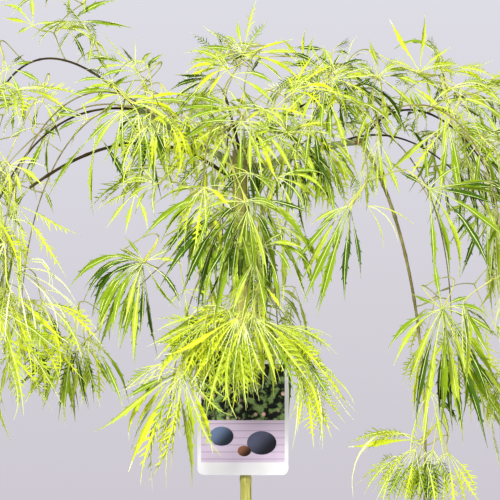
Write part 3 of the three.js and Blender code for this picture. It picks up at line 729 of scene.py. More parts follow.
# The leaves that hang foremost. Each row places a leaf's heart as it looks from the front, in mm:
# right, back, up; then the way its middle lobe points, anticlockwise from right, and that lobe's
# length; half the fan of its lobes; how many lobes; how far they droop; its tone and, where all its
# lobes are alike, their kind.
FOREMOST = [
    # the crest on the left, against the sky
    (-159, -30, 838, 120, 34, 90, 5, 0.3, "lime/broad"),
    (-134, -20, 838, 8, 58, 70, 5, 0.3, "lime/broad"),
    (-80, -30, 803, 168, 46, 125, 8, 0.35, "green/broad"),
    (-82, -15, 806, 105, 30, 20, 2, 0.3, "pale"),
    (-118, -10, 768, 176, 40, 62, 5, 0.3, "green/broad"),
    (-112, -25, 759, -94, 74, 34, 3, 0.2, "green/broad"),
    (-152, -60, 781, -110, 30, 90, 5, 0.4, "lime"),
    (-184, -50, 792, -100, 42, 100, 7, 0.5, "green"),
    (-157, -80, 762, -90, 42, 68, 2, 0.2, "green"), (-88, -35, 786, 176, 46, 40, 5, 0.4, "green"),
    (-84, -50, 780, -8, 52, 24, 4, 0.3, "lime"),
    (-92, -45, 774, -112, 44, 50, 6, 0.4, "green/broad"),
    (-100, -20, 796, 150, 34, 80, 6, 0.3, "green"), (-178, -30, 806, -60, 34, 110, 7, 0.4, "green"),
    (-176, -100, 733, -30, 36, 66, 5, 0.4, "lime"),
    (-180, -80, 736, -130, 52, 50, 5, 0.4, "yellow"),
    (-172, -120, 704, -68, 64, 40, 4, 0.35, "yellow"),
    (-173, -90, 703, -92, 96, 15, 3, 0.2, "green"), (-190, -110, 700, -100, 70, 40, 5, 0.3, "lime"),
    # the bright lock at the left edge
    (-172, -110, 654, -58, 72, 46, 6, 0.6, "pale/thread"),
    (-180, -90, 642, -95, 88, 45, 7, 0.3, "yellow"),
    (-186, -120, 624, -75, 82, 55, 7, 0.4, "yellow"),
    (-178, -60, 630, -46, 62, 40, 6, 0.5, "yellow"),
    (-188, -90, 604, -86, 64, 60, 7, 0.4, "yellow"),
    (-168, -70, 608, -55, 54, 40, 5, 0.4, "yellow"),
    (-166, -100, 658, 14, 52, 22, 2, 1.3, "pale/thread"),
    (-150, -90, 640, -60, 44, 30, 3, 0.5, "pale/thread"),
    (-184, -100, 690, -50, 60, 30, 2, 0.8, "pale/thread"),
    (-152, -90, 630, -62, 62, 40, 7, 0.4, "yellow/fine"),
    (-158, -80, 606, -52, 58, 36, 6, 0.4, "yellow/fine"),
    (-176, -50, 596, -70, 56, 50, 6, 0.4, "lime"), (-190, -60, 640, -110, 70, 60, 6, 0.4, "yellow"),
    # the two locks inside it
    (-128, -60, 607, -102, 76, 30, 5, 0.25, "green"), (-117, -50, 606, -84, 66, 34, 6, 0.3, "lime"),
    (-120, -45, 600, -97, 54, 40, 5, 0.3, "green"),
    (-76, -70, 661, -140, 72, 34, 8, 0.8, "green/broad"),
    (-77, -66, 660, -108, 76, 20, 5, 0.4, "green/broad"),
    (-77, -60, 660, -92, 70, 12, 3, 0.2, "deep/broad"),
    (-80, -55, 656, -128, 66, 30, 4, 0.6, "green"),
    (-76, -72, 661, 158, 34, 40, 4, 0.1, "green/broad"),
    (-75, -70, 660, -52, 56, 12, 2, 0.5, "green/broad"),
    (-74, -70, 662, 14, 30, 14, 2, 0.2, "lime"),
    # under the left shoulder
    (-80, -45, 772, -98, 54, 26, 6, 0.25, "green"), (-74, -30, 770, -84, 58, 22, 5, 0.25, "deep"),
    (-62, -50, 773, -82, 58, 26, 6, 0.4, "yellow"), (-54, -35, 768, -70, 56, 30, 6, 0.5, "yellow"),
    (-44, -45, 770, -76, 58, 38, 7, 0.5, "yellow"), (-38, -25, 776, -95, 52, 50, 6, 0.4, "lime"),
    (-67, -60, 719, -172, 34, 72, 6, 0.5, "lime"), (-82, -60, 712, -116, 44, 42, 4, 0.4, "lime"),
    (-60, -40, 778, 172, 36, 40, 4, 0.3, "lime"),
    # down the middle
    (-20, -80, 714, -138, 74, 36, 6, 0.5, "green/broad"),
    (-8, -85, 703, -124, 88, 24, 5, 0.4, "deep/broad"),
    (-5, -70, 700, -108, 90, 18, 4, 0.3, "green"), (-24, -60, 742, -112, 46, 50, 5, 0.4, "green"),
    (-3, -60, 766, -100, 54, 80, 8, 0.4, "lime"), (-8, -50, 774, -166, 50, 58, 7, 0.3, "green"),
    (0, -50, 744, -86, 52, 30, 5, 0.4, "deep"), (4, -60, 764, -50, 64, 45, 7, 0.45, "lime"),
    (2, -75, 728, -90, 42, 70, 7, 0.4, "green"), (2, -80, 707, -52, 68, 40, 7, 0.5, "green/broad"),
    (13, -90, 672, -80, 50, 120, 10, 0.6, "green/broad"),
    (26, -75, 688, -66, 60, 36, 6, 0.5, "green/broad"),
    (12, -60, 690, -98, 60, 25, 4, 0.3, "green"), (-12, -65, 668, -105, 50, 40, 5, 0.3, "deep"),
    (8, -60, 652, -95, 36, 60, 6, 0.3, "green"), (-30, -50, 690, -110, 50, 40, 5, 0.4, "green"),
    (-45, -40, 640, -70, 34, 60, 4, 0.3, "lime"), (0, -95, 706, -92, 46, 110, 8, 0.4, "green"),
    (2, -94, 700, -94, 66, 20, 5, 0.2, "green/broad"), (7, -96, 662, -96, 50, 26, 6, 0.2, "green"),
    (-4, -92, 686, -100, 52, 22, 5, 0.2, "deep"), (12, -92, 646, -84, 34, 30, 5, 0.2, "lime"),
    # the top
    (-2, -30, 818, 155, 42, 46, 5, 0.25, "lime"), (-1, -20, 818, 82, 40, 24, 3, 0.1, "lime"),
    (0, -30, 816, -6, 54, 26, 4, 0.35, "yellow/broad"),
    (-12, -50, 806, 172, 42, 60, 7, 0.35, "lime/broad"),
    (-22, -40, 798, -142, 46, 46, 7, 0.4, "green/broad"),
    (-10, -60, 801, -34, 50, 30, 3, 0.3, "green"), (-14, -30, 790, -120, 36, 60, 6, 0.4, "lime"),
    (-16, -10, 812, 140, 34, 70, 6, 0.3, "green"),
    # the right shoulder
    (44, -30, 806, 112, 34, 44, 5, 0.2, "lime"), (62, -40, 796, 60, 32, 112, 8, 0.3, "green"),
    (68, -45, 803, 40, 26, 120, 9, 0.3, "deep/broad"), (55, -50, 792, -150, 40, 60, 6, 0.4, "lime"),
    (42, -45, 802, -130, 28, 16, 3, 0.2, "deep"), (60, -55, 788, -60, 50, 52, 8, 0.4, "green"),
    (70, -30, 792, -100, 42, 50, 7, 0.4, "green"),
    (76, -20, 810, 60, 26, 50, 4, 0.2, "pale/thread"),
    (100, -35, 800, -60, 48, 120, 8, 0.35, "lime/broad"),
    (102, -20, 801, 106, 34, 40, 3, 0.2, "lime"), (58, -35, 806, 170, 34, 80, 8, 0.3, "green"),
    (74, -45, 796, -60, 42, 80, 8, 0.3, "green"), (96, -50, 778, -100, 44, 36, 5, 0.3, "lime"),
    (100, -60, 752, -92, 40, 26, 4, 0.3, "lime"), (66, -60, 798, -20, 40, 70, 6, 0.3, "yellow"),
    # between the middle and the right shoot
    (32, -70, 758, -32, 58, 58, 8, 0.5, "yellow"), (31, -65, 758, 148, 38, 60, 6, 0.3, "lime"),
    (38, -60, 750, -72, 56, 30, 6, 0.3, "deep/broad"),
    (34, -45, 746, -90, 56, 50, 7, 0.4, "green/broad"),
    (55, -55, 754, -66, 56, 36, 6, 0.6, "green"),
    (58, -45, 748, -88, 44, 30, 6, 0.3, "yellow/broad"),
    (60, -60, 738, -96, 46, 30, 5, 0.2, "green/broad"),
    (24, -65, 724, -28, 46, 50, 7, 0.5, "green"), (62, -45, 746, -80, 50, 28, 6, 0.5, "lime"),
    (88, -60, 730, -95, 34, 30, 5, 0.3, "green"), (99, -55, 740, -72, 38, 36, 5, 0.4, "lime"),
    (78, -85, 703, -152, 38, 8, 2, 0.2, "lime/broad"),
    (78, -85, 703, -114, 106, 5, 2, 0.05, "green/broad"),
    (79, -84, 700, -104, 84, 6, 2, 0.05, "deep/broad"),
    (76, -70, 704, -122, 70, 12, 3, 0.2, "green/broad"),
    (79, -80, 701, -86, 54, 6, 2, 0.1, "deep/broad"),
    (92, -70, 703, -42, 48, 24, 3, 0.5, "pale/thread"),
    (16, -50, 770, -60, 46, 70, 7, 0.4, "green"), (50, -70, 768, -100, 44, 60, 7, 0.4, "green"),
    # the crest on the right
    (131, -40, 804, 127, 46, 1, 1, 0.0, "lime/broad"),
    (131, -35, 804, 84, 42, 1, 1, 0.1, "lime/broad"),
    (132, -40, 804, 24, 42, 24, 4, 0.35, "yellow"), (130, -30, 803, 178, 32, 30, 5, 0.3, "lime"),
    (150, -30, 804, -4, 50, 14, 4, 0.3, "yellow"), (155, -40, 791, -12, 52, 38, 7, 0.4, "yellow"),
    (153, -50, 782, -62, 50, 50, 7, 0.4, "lime"), (152, -65, 765, -132, 66, 8, 2, 0.1, "lime"),
    (152, -60, 765, -84, 72, 14, 4, 0.15, "lime"), (156, -40, 763, -44, 52, 40, 7, 0.4, "green"),
    (178, -60, 753, -60, 50, 92, 8, 0.4, "green"), (120, -20, 796, -38, 46, 60, 7, 0.4, "lime"),
    (140, -30, 778, 40, 30, 90, 6, 0.3, "lime"), (172, -30, 782, -70, 40, 60, 6, 0.4, "lime"),
    # the dark leaves on the right
    (138, -100, 716, -8, 58, 14, 5, 0.15, "deep/broad"),
    (138, -100, 716, -62, 86, 24, 5, 0.35, "green/broad"),
    (138, -100, 716, 96, 36, 56, 3, 0.1, "green/broad"),
    (172, -80, 722, -60, 52, 50, 6, 0.4, "deep/broad"),
    (182, -60, 700, -95, 56, 50, 6, 0.4, "green/broad"),
    (150, -60, 612, -74, 90, 22, 6, 0.2, "deep/broad"),
    (148, -75, 626, -80, 102, 26, 7, 0.25, "green/broad"),
    (148, -75, 626, -20, 56, 18, 4, 0.5, "green/broad"),
    (148, -75, 626, -132, 66, 14, 3, 0.4, "lime/broad"),
    (148, -75, 626, 96, 42, 50, 3, 0.2, "green/broad"),
    (192, -30, 588, -102, 62, 46, 5, 0.4, "yellow"),
    # the end of the right shoot
    (131, -50, 527, 188, 64, 1, 1, 0.3, "yellow/broad"),
    (131, -50, 527, 172, 58, 8, 3, 0.5, "yellow/fine"),
    (131, -52, 524, 190, 88, 1, 1, 1.0, "pale/thread"),
    (128, -50, 521, -114, 56, 30, 9, 0.3, "lime/fine"),
    (118, -50, 514, -132, 48, 36, 6, 0.4, "lime/fine"),
    (141, -45, 520, -100, 50, 40, 8, 0.3, "green"),
    (133, -40, 523, -92, 62, 20, 5, 0.2, "lime/fine"),
    (152, -45, 518, -95, 58, 44, 9, 0.4, "yellow/fine"),
    (146, -30, 510, -125, 42, 30, 5, 0.3, "green"),
    # the tuft over the label
    (4, -85, 623, -118, 80, 50, 12, 0.25, "yellow"), (-6, -92, 619, -108, 76, 34, 9, 0.2, "yellow"),
    (-1, -94, 616, -92, 56, 20, 7, 0.1, "yellow"), (8, -90, 619, -46, 78, 22, 7, 0.3, "yellow"),
    (12, -88, 612, -66, 44, 24, 6, 0.2, "yellow"), (6, -88, 621, -82, 40, 50, 8, 0.4, "yellow"),
    (-12, -86, 625, -125, 52, 56, 8, 0.5, "yellow"), (-4, -82, 622, -148, 52, 36, 8, 0.4, "yellow"),
    (-30, -88, 616, -112, 52, 40, 9, 0.2, "yellow"), (-16, -80, 621, -138, 70, 30, 7, 0.25, "lime"),
    (-22, -92, 610, -94, 40, 44, 8, 0.2, "yellow"), (-8, -75, 616, -108, 70, 34, 8, 0.3, "lime"),
    (20, -80, 613, -42, 60, 22, 6, 0.4, "yellow"), (40, -82, 592, -62, 64, 26, 6, 0.4, "yellow"),
    (45, -78, 586, -50, 70, 16, 3, 0.5, "pale/thread"),
    (38, -84, 590, -66, 60, 14, 4, 0.3, "yellow/fine"),
    (46, -80, 572, -74, 58, 24, 5, 0.3, "yellow/fine"),
    (-28, -80, 613, -124, 62, 36, 7, 0.4, "yellow"),
    (42, -84, 576, -66, 60, 30, 3, 0.6, "pale/thread"),
    (-36, -72, 600, -112, 50, 40, 6, 0.4, "yellow"),
    (-48, -85, 577, -106, 88, 34, 7, 0.3, "yellow"), (-46, -80, 578, -74, 64, 40, 6, 0.3, "yellow"),
    (-50, -75, 580, -162, 46, 22, 4, 0.5, "pale/thread"),
    (-50, -70, 578, -132, 66, 22, 4, 0.3, "yellow"), (-60, -62, 586, -130, 50, 30, 5, 0.4, "lime"),
    (-4, -70, 604, -104, 56, 30, 7, 0.3, "yellow"), (-52, -82, 574, -99, 88, 18, 5, 0.2, "yellow"),
    (-20, -78, 608, -130, 48, 50, 7, 0.4, "lime"), (-14, -68, 606, -100, 56, 50, 7, 0.3, "lime"),
    (26, -70, 612, -40, 48, 34, 6, 0.3, "yellow"), (-34, -64, 616, -150, 42, 50, 6, 0.3, "lime"),
]
FOREMOST_STALK = 24 * MM
SHARED_NODE = 22 * MM  # leaves closer than this grow from one node

PLACES_TRIED = 90  # for each further pair, which takes the one with the most room
LEAST_GAP = 10 * MM
ROUND_ABOUT = MM * np.array(  # what a pair of leaves covers, from its node
    [(0, 0, 0), (24, 0, -6), (-24, 0, -6), (0, 0, -30), (16, 0, -46), (-16, 0, -46)])

draw = np.random.default_rng(2024)
EYE = np.array(camera.location)


def seen_from_front(points):
    """Where points appear to the eye in front, at the stem's depth: right and up, in metres."""
    away = (points - EYE) * (CAMERA_DISTANCE / (points[..., 1:2] - EYE[1]))
    return away[..., 0] + EYE[0], away[..., 2] + EYE[2]


def in_open_sky(points):
    right, up = seen_from_front(points)
    clear = np.zeros(right.shape, bool)
    for x, z, half_x, half_z in OPEN_SKY:
        clear |= ((right - x * MM) / (half_x * MM)) ** 2 + ((up - z * MM) / (half_z * MM)) ** 2 < 1
    return clear


wood_at, wood_way, wood_parent, wood_load = [], [], [], []


def lay_wood(points, ways, parent):
    """Adds a limb's points to the wood that can be grown from, each carried by the one before."""
    for point, way in zip(points, ways):
        wood_at.append(point)
        wood_way.append(way)
        wood_parent.append(parent)
        wood_load.append(0)
        parent = len(wood_at) - 1
    return parent


for name in BOUGHS:
    shares = np.linspace(0.12, 1.0, 22)
    lay_wood(curve_point(limb_pulls[name], shares), curve_way(limb_pulls[name], shares), -1)

mass_middle, mass_half = {}, {}
for mass in LEAF_PAIRS:
    low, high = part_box(f"leaves_{mass}")
    mass_middle[mass], mass_half[mass] = np.array((low + high) / 2), np.array((high - low) / 2)
masses = [f"leaves_{mass}" for mass in LEAF_PAIRS]

wanted = []  # where each node is, and the foremost leaves it carries, if any
for right, back, up, way, long, fan, count, droop, tone in FOREMOST:
    level = np.array((right, 0.0, up)) * MM
    heart = EYE + (level - EYE) * (1 + back * MM / CAMERA_DISTANCE)
    turn = math.radians(way)
    axis = unit(np.array((math.cos(turn), draw.uniform(-0.3, 0.12), math.sin(turn))))
    node = heart + FOREMOST_STALK * unit(np.array((0, 0.5, 0.55)) - 0.75 * axis)
    leaf = (heart, axis, long * MM, fan, count, droop, *(tone + "/").split("/")[:2])
    shared = [w for w in wanted if np.linalg.norm(w[0] - node) < SHARED_NODE]
    if shared:
        shared[0][1].append(leaf)
    else:
        wanted.append((node, [leaf]))
for mass, pairs in LEAF_PAIRS.items():
    spots = [w[0] for w in wanted]
    for _ in range(pairs):
        tries = unit(draw.normal(size=(PLACES_TRIED, 3)))
        tries = tries * draw.uniform(0.25, 0.86, (PLACES_TRIED, 1)) ** 0.6
        tries = mass_middle[mass] + tries * mass_half[mass]
        tries[:, 2] += 0.14 * mass_half[mass][2]
        gap = np.linalg.norm(tries[:, None] - np.array(spots)[None], axis=-1).min(1)
        gap[in_open_sky(tries[:, None] + ROUND_ABOUT).any(1)] = 0
        if gap.max() < LEAST_GAP:
            break
        best = tries[gap.argmax()]
        spots.append(best)
        wanted.append((best, []))


RISING, LEVEL, HANGING, IN_THE_OPEN = 1.5, 1.2, 0.8, 1.5  # what a twig's way costs it
TWIG_STEP = 0.007


def effort(targets, points):
    """What it costs a twig to reach each target from each point: most to rise, least to hang."""
    gap = targets[:, None] - points[None]
    level, rise = np.linalg.norm(gap[..., :2], axis=-1), gap[..., 2]
    down = np.hypot(level * LEVEL, rise * HANGING)
    cost = np.where(rise > 0, np.hypot(level, rise * RISING), down)
    return cost * np.where(in_open_sky(targets[:, None] - gap / 2), IN_THE_OPEN, 1.0)


twigs, nodes_grown = [], []
targets = np.array([w[0] for w in wanted])
cost = effort(targets, np.array(wood_at))
nearest, cheapest = cost.argmin(1), cost.min(1)
waiting = np.ones(len(targets), bool)
while waiting.any():
    pick = int(np.where(waiting, cheapest, np.inf).argmin())
    waiting[pick] = False
    start, parent = wood_at[nearest[pick]], int(nearest[pick])
    span = targets[pick] - start
    reach = np.linalg.norm(span)
    ahead = unit(span)
    leave = unit(0.4 * wood_way[parent] + ahead + 0.2 * UP)
    hearts = [leaf[0] for leaf in wanted[pick][1]]  # it arrives hanging, and turned to these
    lead = unit(np.mean(hearts, axis=0) - targets[pick]) if hearts else 0.0 * UP
    arrive = unit(ahead - (0.2 if hearts else 0.45) * UP + 0.9 * lead + 0.1 * draw.normal(size=3))
    target = targets[pick]
    pulls = np.array([start, start + leave * reach * 0.36, target - arrive * reach * 0.32, target])
    shares = np.linspace(0, 1, max(4, int(reach / TWIG_STEP)))
    path, ways = curve_point(pulls, shares), curve_way(pulls, shares)
    first_new = len(wood_at)
    end = lay_wood(path[1:], ways[1:], parent)
    twigs.append((pulls, shares, list(range(first_new, end + 1))))
    nodes_grown.append((pick, end))
    step = end
    while step >= 0:
        wood_load[step] += 1
        step = wood_parent[step]
    fresh = effort(targets, np.array(wood_at[first_new:]))
    better = fresh.min(1) < cheapest
    nearest[better] = fresh.argmin(1)[better] + first_new
    cheapest[better] = fresh.min(1)[better]


def tube(path, radii, sides):
    """Corners and triangles of a closed round tube along a path, pointed at its far end."""
    path = np.asarray(path)
    ways = unit(np.gradient(path, axis=0))
    side = unit(np.cross(ways[0], (0.31, 0.93, 0.21)))
    turn = np.arange(sides) * 2 * math.pi / sides
    rings = []
    for point, way, radius in zip(path, ways, radii):
        side = unit(side - way * (side @ way))
        around = np.cos(turn)[:, None] * side + np.sin(turn)[:, None] * np.cross(way, side)
        rings.append(point + radius * around)
    rings.append(np.repeat((path[-1] + ways[-1] * radii[-1])[None], sides, 0))
    corners = np.concatenate([np.repeat(path[:1], sides, 0), *rings])
    base = np.arange(len(rings))[:, None] * sides
    here, after = np.arange(sides), (np.arange(sides) + 1) % sides
    a, b = base + here, base + after
    faces = np.concatenate([np.stack([a, b, b + sides], -1),
                            np.stack([a, b + sides, a + sides], -1)])
    return corners, faces.reshape(-1, 3)


def joined_tubes(tubes):
    corners, faces = zip(*tubes)
    before = np.cumsum([0] + [len(part) for part in corners])
    faces = [part + count for part, count in zip(faces, before)]
    return joined_mesh(np.concatenate(corners), np.concatenate(faces))


TWIG_TIP, TWIG_GAIN, TWIG_MOST = 0.31 * MM, 0.08 * MM, 0.66 * MM
twig_tubes = []
for pulls, shares, members in twigs:
    loads = np.array([wood_load[members[0]]] + [wood_load[m] for m in members], float)
    radii = np.minimum(TWIG_TIP + TWIG_GAIN * np.sqrt(loads - 0.5), TWIG_MOST)
    radii[0] *= 1.25  # swollen where it leaves its limb, and more where its leaves leave it
    radii[-1] *= 1.5
    smooth = np.linspace(0, 1, 3 * len(shares) - 2)
    twig_tubes.append(tube(curve_point(pulls, smooth), np.interp(smooth, shares, radii), 6))
twig_bark = Finish("Olive twig bark", Specular_IOR_Level=0.4, Base_Color=tint(156, 158, 76))
twig_bark.feed("Roughness", 0.4 + twig_bark.grain(500.0) * 0.3)
twig_bark.relief(twig_bark.grain(900.0, 4.0), 0.0003)
finished("twigs", joined_tubes(twig_tubes), twig_bark, masses)

# ---- buds ----
# Small pointed red-brown buds in pairs, where leaves have not yet opened: a knot of them at the cut
# end of the right arm, and a pair or two at the other cut ends.
BUD_LENGTH, BUD_RADIUS = 3.2 * MM, 1.1 * MM
BUD_PLACES = (("arm_right", (0.93, 0.95, 0.965, 0.98, 0.99), 1.3), ("arm_left", (0.9, 0.97), 0.8),
              ("top_left", (0.9, 0.97), 0.9))
bud_rises = np.linspace(0.0, 1.0, 6)
bud_girth = np.sin(math.pi * (0.08 + 0.9 * bud_rises)) ** 0.8
buds = []
for name, shares, size_up in BUD_PLACES:
    radii = BOUGHS[name][-1]
    for share in shares:
        at_point, way = curve_point(limb_pulls[name], share), curve_way(limb_pulls[name], share)
        girth = (radii[0] + (radii[1] - radii[0]) * share) * MM
        spin = draw.uniform(0, math.pi)
        level = unit(np.cross(way, (0.13, 0.21, 1.0)))
        aside = np.cross(way, level)
        for half_turn in (0.0, math.pi):
            side = math.cos(spin + half_turn) * level + math.sin(spin + half_turn) * aside
            bud_way = unit(side + 1.4 * way)
            foot, size = at_point + side * girth * 0.7, draw.uniform(0.6, 1.0) * size_up
            path = foot + bud_way * (bud_rises * BUD_LENGTH * size)[:, None]
            buds.append(tube(path, bud_girth * BUD_RADIUS * size, 6))
bud_skin = Finish("Red brown buds", Specular_IOR_Level=0.45, Base_Color=tint(116, 72, 48))
bud_skin.feed("Roughness", 0.35 + bud_skin.grain(900.0) * 0.3)
bud_skin.relief(bud_skin.cells(1400.0), 0.0002)
finished("leaf_buds", joined_tubes(buds), bud_skin, masses)

# ---- leaves ----
# Thin, soft leaves in opposite pairs, each cut to its heart into lobes. A lobe starts as a thread,
# widens to a toothed blade folded along a pale rib, and runs out to a fine tip. Tones go by spray;
# the palest are the youngest, and their lobes are the narrowest and most deeply toothed.
TONES = {
    "pale": (230, 236, 176), "yellow": (188, 202, 40), "lime": (168, 188, 52),
    "green": (124, 152, 28), "deep": (60, 90, 8),
}
TIP_COLOUR = (236, 240, 196)
PALE_TIPPED = ("pale", "yellow")
TONE_SHARES = (0.08, 0.24, 0.38, 0.21, 0.09)
SHADED_SHARES = (0.0, 0.06, 0.36, 0.40, 0.18)  # under the crown the leaves stay greener
SHADED_WITHIN, SHADED_BELOW = 75 * MM, 0.78
STALK_LENGTHS, LEAF_LENGTHS = (17, 30), (42, 62)  # mm
FANS, DROOPS = (90, 125), (0.3, 0.8)  # degrees to each side, and the bend of a lobe

ROOM_TO_SPARE = 6 * MM  # a leaf may pass the crown's solids by this much
leaf_room = np.array(cad_box[0]) - ROOM_TO_SPARE, np.array(cad_box[1]) + ROOM_TO_SPARE
RAGGED = np.array((1.0, 1.0, 0.3))  # the crown's outside is uneven all round, and less so above
late_draw = np.random.default_rng(8)
leaves = []  # heart, axis, face, length, lobes, half fan, droop, tone, kind, whether foremost
stalks = []


def stalk_curve(node, heart, leave, axis):
    """Points along a leaf's stalk, from its node on the twig to the heart of the leaf."""
    reach = np.linalg.norm(heart - node)
    ahead = unit(heart - node)
    pulls = np.array([node, node + unit(unit(leave) + ahead) * reach * 0.35,
                      heart - unit(0.6 * unit(axis) + ahead) * reach * 0.35, heart])
    return curve_point(pulls, np.linspace(0, 1, 7))


def square_to(way, wish):
    """The way a leaf or a lobe faces: as near to the wish as is square to where it points."""
    return unit(wish - way * (wish * way).sum(-1, keepdims=True))


for pick, end in nodes_grown:
    node, foremost = wanted[pick]
    twig_way = wood_way[end]
    for heart, axis, long, fan, count, droop, tone, kind in foremost:
        face = square_to(axis, np.array((draw.normal(0, 0.3), -1.0, draw.normal(0.1, 0.3))))
        leaves.append((heart, axis, face, long, count, fan, droop, tone, kind, True))
        stalks.append(stalk_curve(node, heart, twig_way + 0.6 * unit(heart - node), axis))
    if foremost:
        continue
    out = unit((node - CROWN_AXIS) * (1, 1, 0))
    hang = smooth_step(0.80 - node[2], 0.0, 0.12)
    spin = draw.uniform(0, 2 * math.pi)
    level = unit(np.cross(twig_way, (0.2, 0.3, 1.0)))
    other = np.cross(twig_way, level)
    shaded = np.hypot(*(node - CROWN_AXIS)[:2]) < SHADED_WITHIN and node[2] < SHADED_BELOW
    tone = draw.choice(list(TONES), p=SHADED_SHARES if shaded else TONE_SHARES)
    for side_way in (1, -1):
        side = side_way * (math.cos(spin) * level + math.sin(spin) * other)
        stalk_way = unit(side + 0.4 * twig_way + 0.35 * out + (0.7 - 0.5 * hang) * UP)
        heart = node + stalk_way * draw.uniform(*STALK_LENGTHS) * MM
        axis = unit(0.6 * side + 0.4 * out - (0.1 + 1.5 * hang) * UP + 0.2 * draw.normal(size=3))
        face = square_to(axis, 0.6 * out + (0.9 - 0.5 * hang) * UP + 0.4 * draw.normal(size=3))
        long = draw.uniform(*LEAF_LENGTHS) * MM * (1 + 0.4 * hang)
        fan = draw.uniform(*FANS) * (1 - 0.5 * hang)
        if in_open_sky(heart):
            continue
        inset = late_draw.uniform(0, 24, 3) * RAGGED * MM
        heart = np.clip(heart, leaf_room[0] + inset, leaf_room[1] - inset)
        count, droop = int(draw.choice([7, 9])), draw.uniform(*DROOPS)
        leaves.append((heart, axis, face, long, count, fan, droop, tone, "", False))
        stalks.append(stalk_curve(node, heart, stalk_way, axis))


TOOTH_FOOT = 0.024
TIP_FROM = 0.87


def lobe_outline(seed, breadth, teeth, tooth_length, tooth_lean):
    """A flat lobe one unit long: its corners, as share of its length and distance to the side, its
    triangles, and which of them are its tip."""
    vary = np.random.default_rng(seed)
    stations = np.array([0.0, 0.18, 0.32, 0.43, 0.53, 0.62, 0.71, 0.80, 0.90, 1.0])
    width = np.array([0.20, 0.18, 0.34, 0.74, 0.96, 1.0, 0.76, 0.40, 0.20, 0.05]) * breadth
    corners = [(s, side * w) for s, w in zip(stations, width) for side in (0, 1, -1)]
    faces = []
    for k in range(len(stations) - 1):
        mid, left, right = 3 * k, 3 * k + 1, 3 * k + 2
        faces += [(mid, mid + 3, left + 3), (mid, left + 3, left)]
        faces += [(mid, right, right + 3), (mid, right + 3, mid + 3)]
    for side in (1, -1):
        for tooth in range(teeth):
            share = tooth / (teeth - 1)
            foot = 0.28 + 0.45 * share + 0.03 * (side > 0) + vary.uniform(-0.02, 0.02)
            long = tooth_length * (1 - 0.55 * abs(share - 0.42) / 0.58) * vary.uniform(0.6, 1.15)
            lean = math.radians(tooth_lean * vary.uniform(0.7, 1.25))
            w = np.interp(foot, stations, width)
            w_after = np.interp(foot + TOOTH_FOOT, stations, width)
            tip = (foot + long * math.cos(lean), w + long * math.sin(lean))
            belly = ((foot + tip[0]) / 2 - 0.002, (w + tip[1]) / 2 + 0.003)
            a, b, c, d = range(len(corners), len(corners) + 4)
            tooth_corners = (foot, w), (foot + TOOTH_FOOT, w_after), belly, tip
            corners += [(along, side * out) for along, out in tooth_corners]
            faces += [(a, b, c), (b, d, c)] if side > 0 else [(a, c, b), (b, c, d)]
    corners, faces = np.array(corners), np.array(faces)
    return corners, faces, corners[faces][..., 0].mean(1) > TIP_FROM


BROAD = [lobe_outline(seed, 0.029, 4, 0.105, 15) for seed in (11, 12)]
FINE = [lobe_outline(seed, 0.013, 7, 0.16, 33) for seed in (13, 14)]
THREAD = [lobe_outline(15, 0.008, 0, 0.0, 0)]
OUTLINES = BROAD + FINE + THREAD
KINDS = ("broad", "fine", "thread")
# The share of each kind of lobe in each tone, and of each tone among the lobes of one leaf.
KIND_SHARES = {
    "pale": (0.0, 0.10, 0.90), "yellow": (0.20, 0.70, 0.10), "lime": (0.58, 0.39, 0.03),
    "green": (0.80, 0.20, 0.0), "deep": (0.85, 0.15, 0.0),
}
LOBE_TONES = {
    "pale": (0.75, 0.20, 0.05, 0.0, 0.0), "yellow": (0.0, 0.58, 0.26, 0.15, 0.01),
    "lime": (0.0, 0.16, 0.56, 0.21, 0.07), "green": (0.0, 0.0, 0.20, 0.60, 0.20),
    "deep": (0.0, 0.0, 0.04, 0.21, 0.75),
}
MIDRIB_STEPS = 12
DOWN = np.array((0.0, 0.0, -1.0))

DROOP, ARCH = 2.6, 0.4
OUTER_SHORTER = 0.42  # the outer lobes of a full fan
HOOKS = (0.8, 2.0)  # the lobes of the palest leaves bend most
lobes = {}
for number, (heart, axis, face, long, count, fan, droop, tone, kind, foremost) in enumerate(leaves):
    side = np.cross(face, axis)
    for share in np.linspace(-1, 1, count) + draw.normal(0, 0.35 / count, count):
        turn = math.radians(fan * share)
        outline = draw.choice(3, p=KIND_SHARES[tone])
        outline = KINDS.index(kind) if kind else outline
        level = axis * math.cos(turn) + side * math.sin(turn)
        long_here = long * (1 - OUTER_SHORTER * min(1, fan / 80) * abs(share) ** 1.7)
        lobe = {
            "heart": heart, "way": unit(level + face * draw.normal(0.0, 0.13)), "face": face,
            "length": long_here * draw.uniform(0.78, 1.08),
            "droop": DROOP * droop * draw.uniform(0.6, 1.4), "curl": draw.normal(0.0, 0.45),
            "twist": draw.normal(0.0, 0.8), "hook": draw.normal(0.0, HOOKS[tone in PALE_TIPPED]),
            "fold": draw.uniform(0.3, 1.1), "width": draw.uniform(0.9, 1.35),
            "kind": min(2 * outline + int(draw.integers(2)), 4),
            "tone": late_draw.choice(list(TONES), p=LOBE_TONES[tone]),
            "free": not foremost, "leaf": number,
        }
        for fact, value in lobe.items():
            lobes.setdefault(fact, []).append(value)
lobes = {fact: np.array(values) for fact, values in lobes.items()}
lobes["face"] = square_to(lobes["way"], lobes["face"])


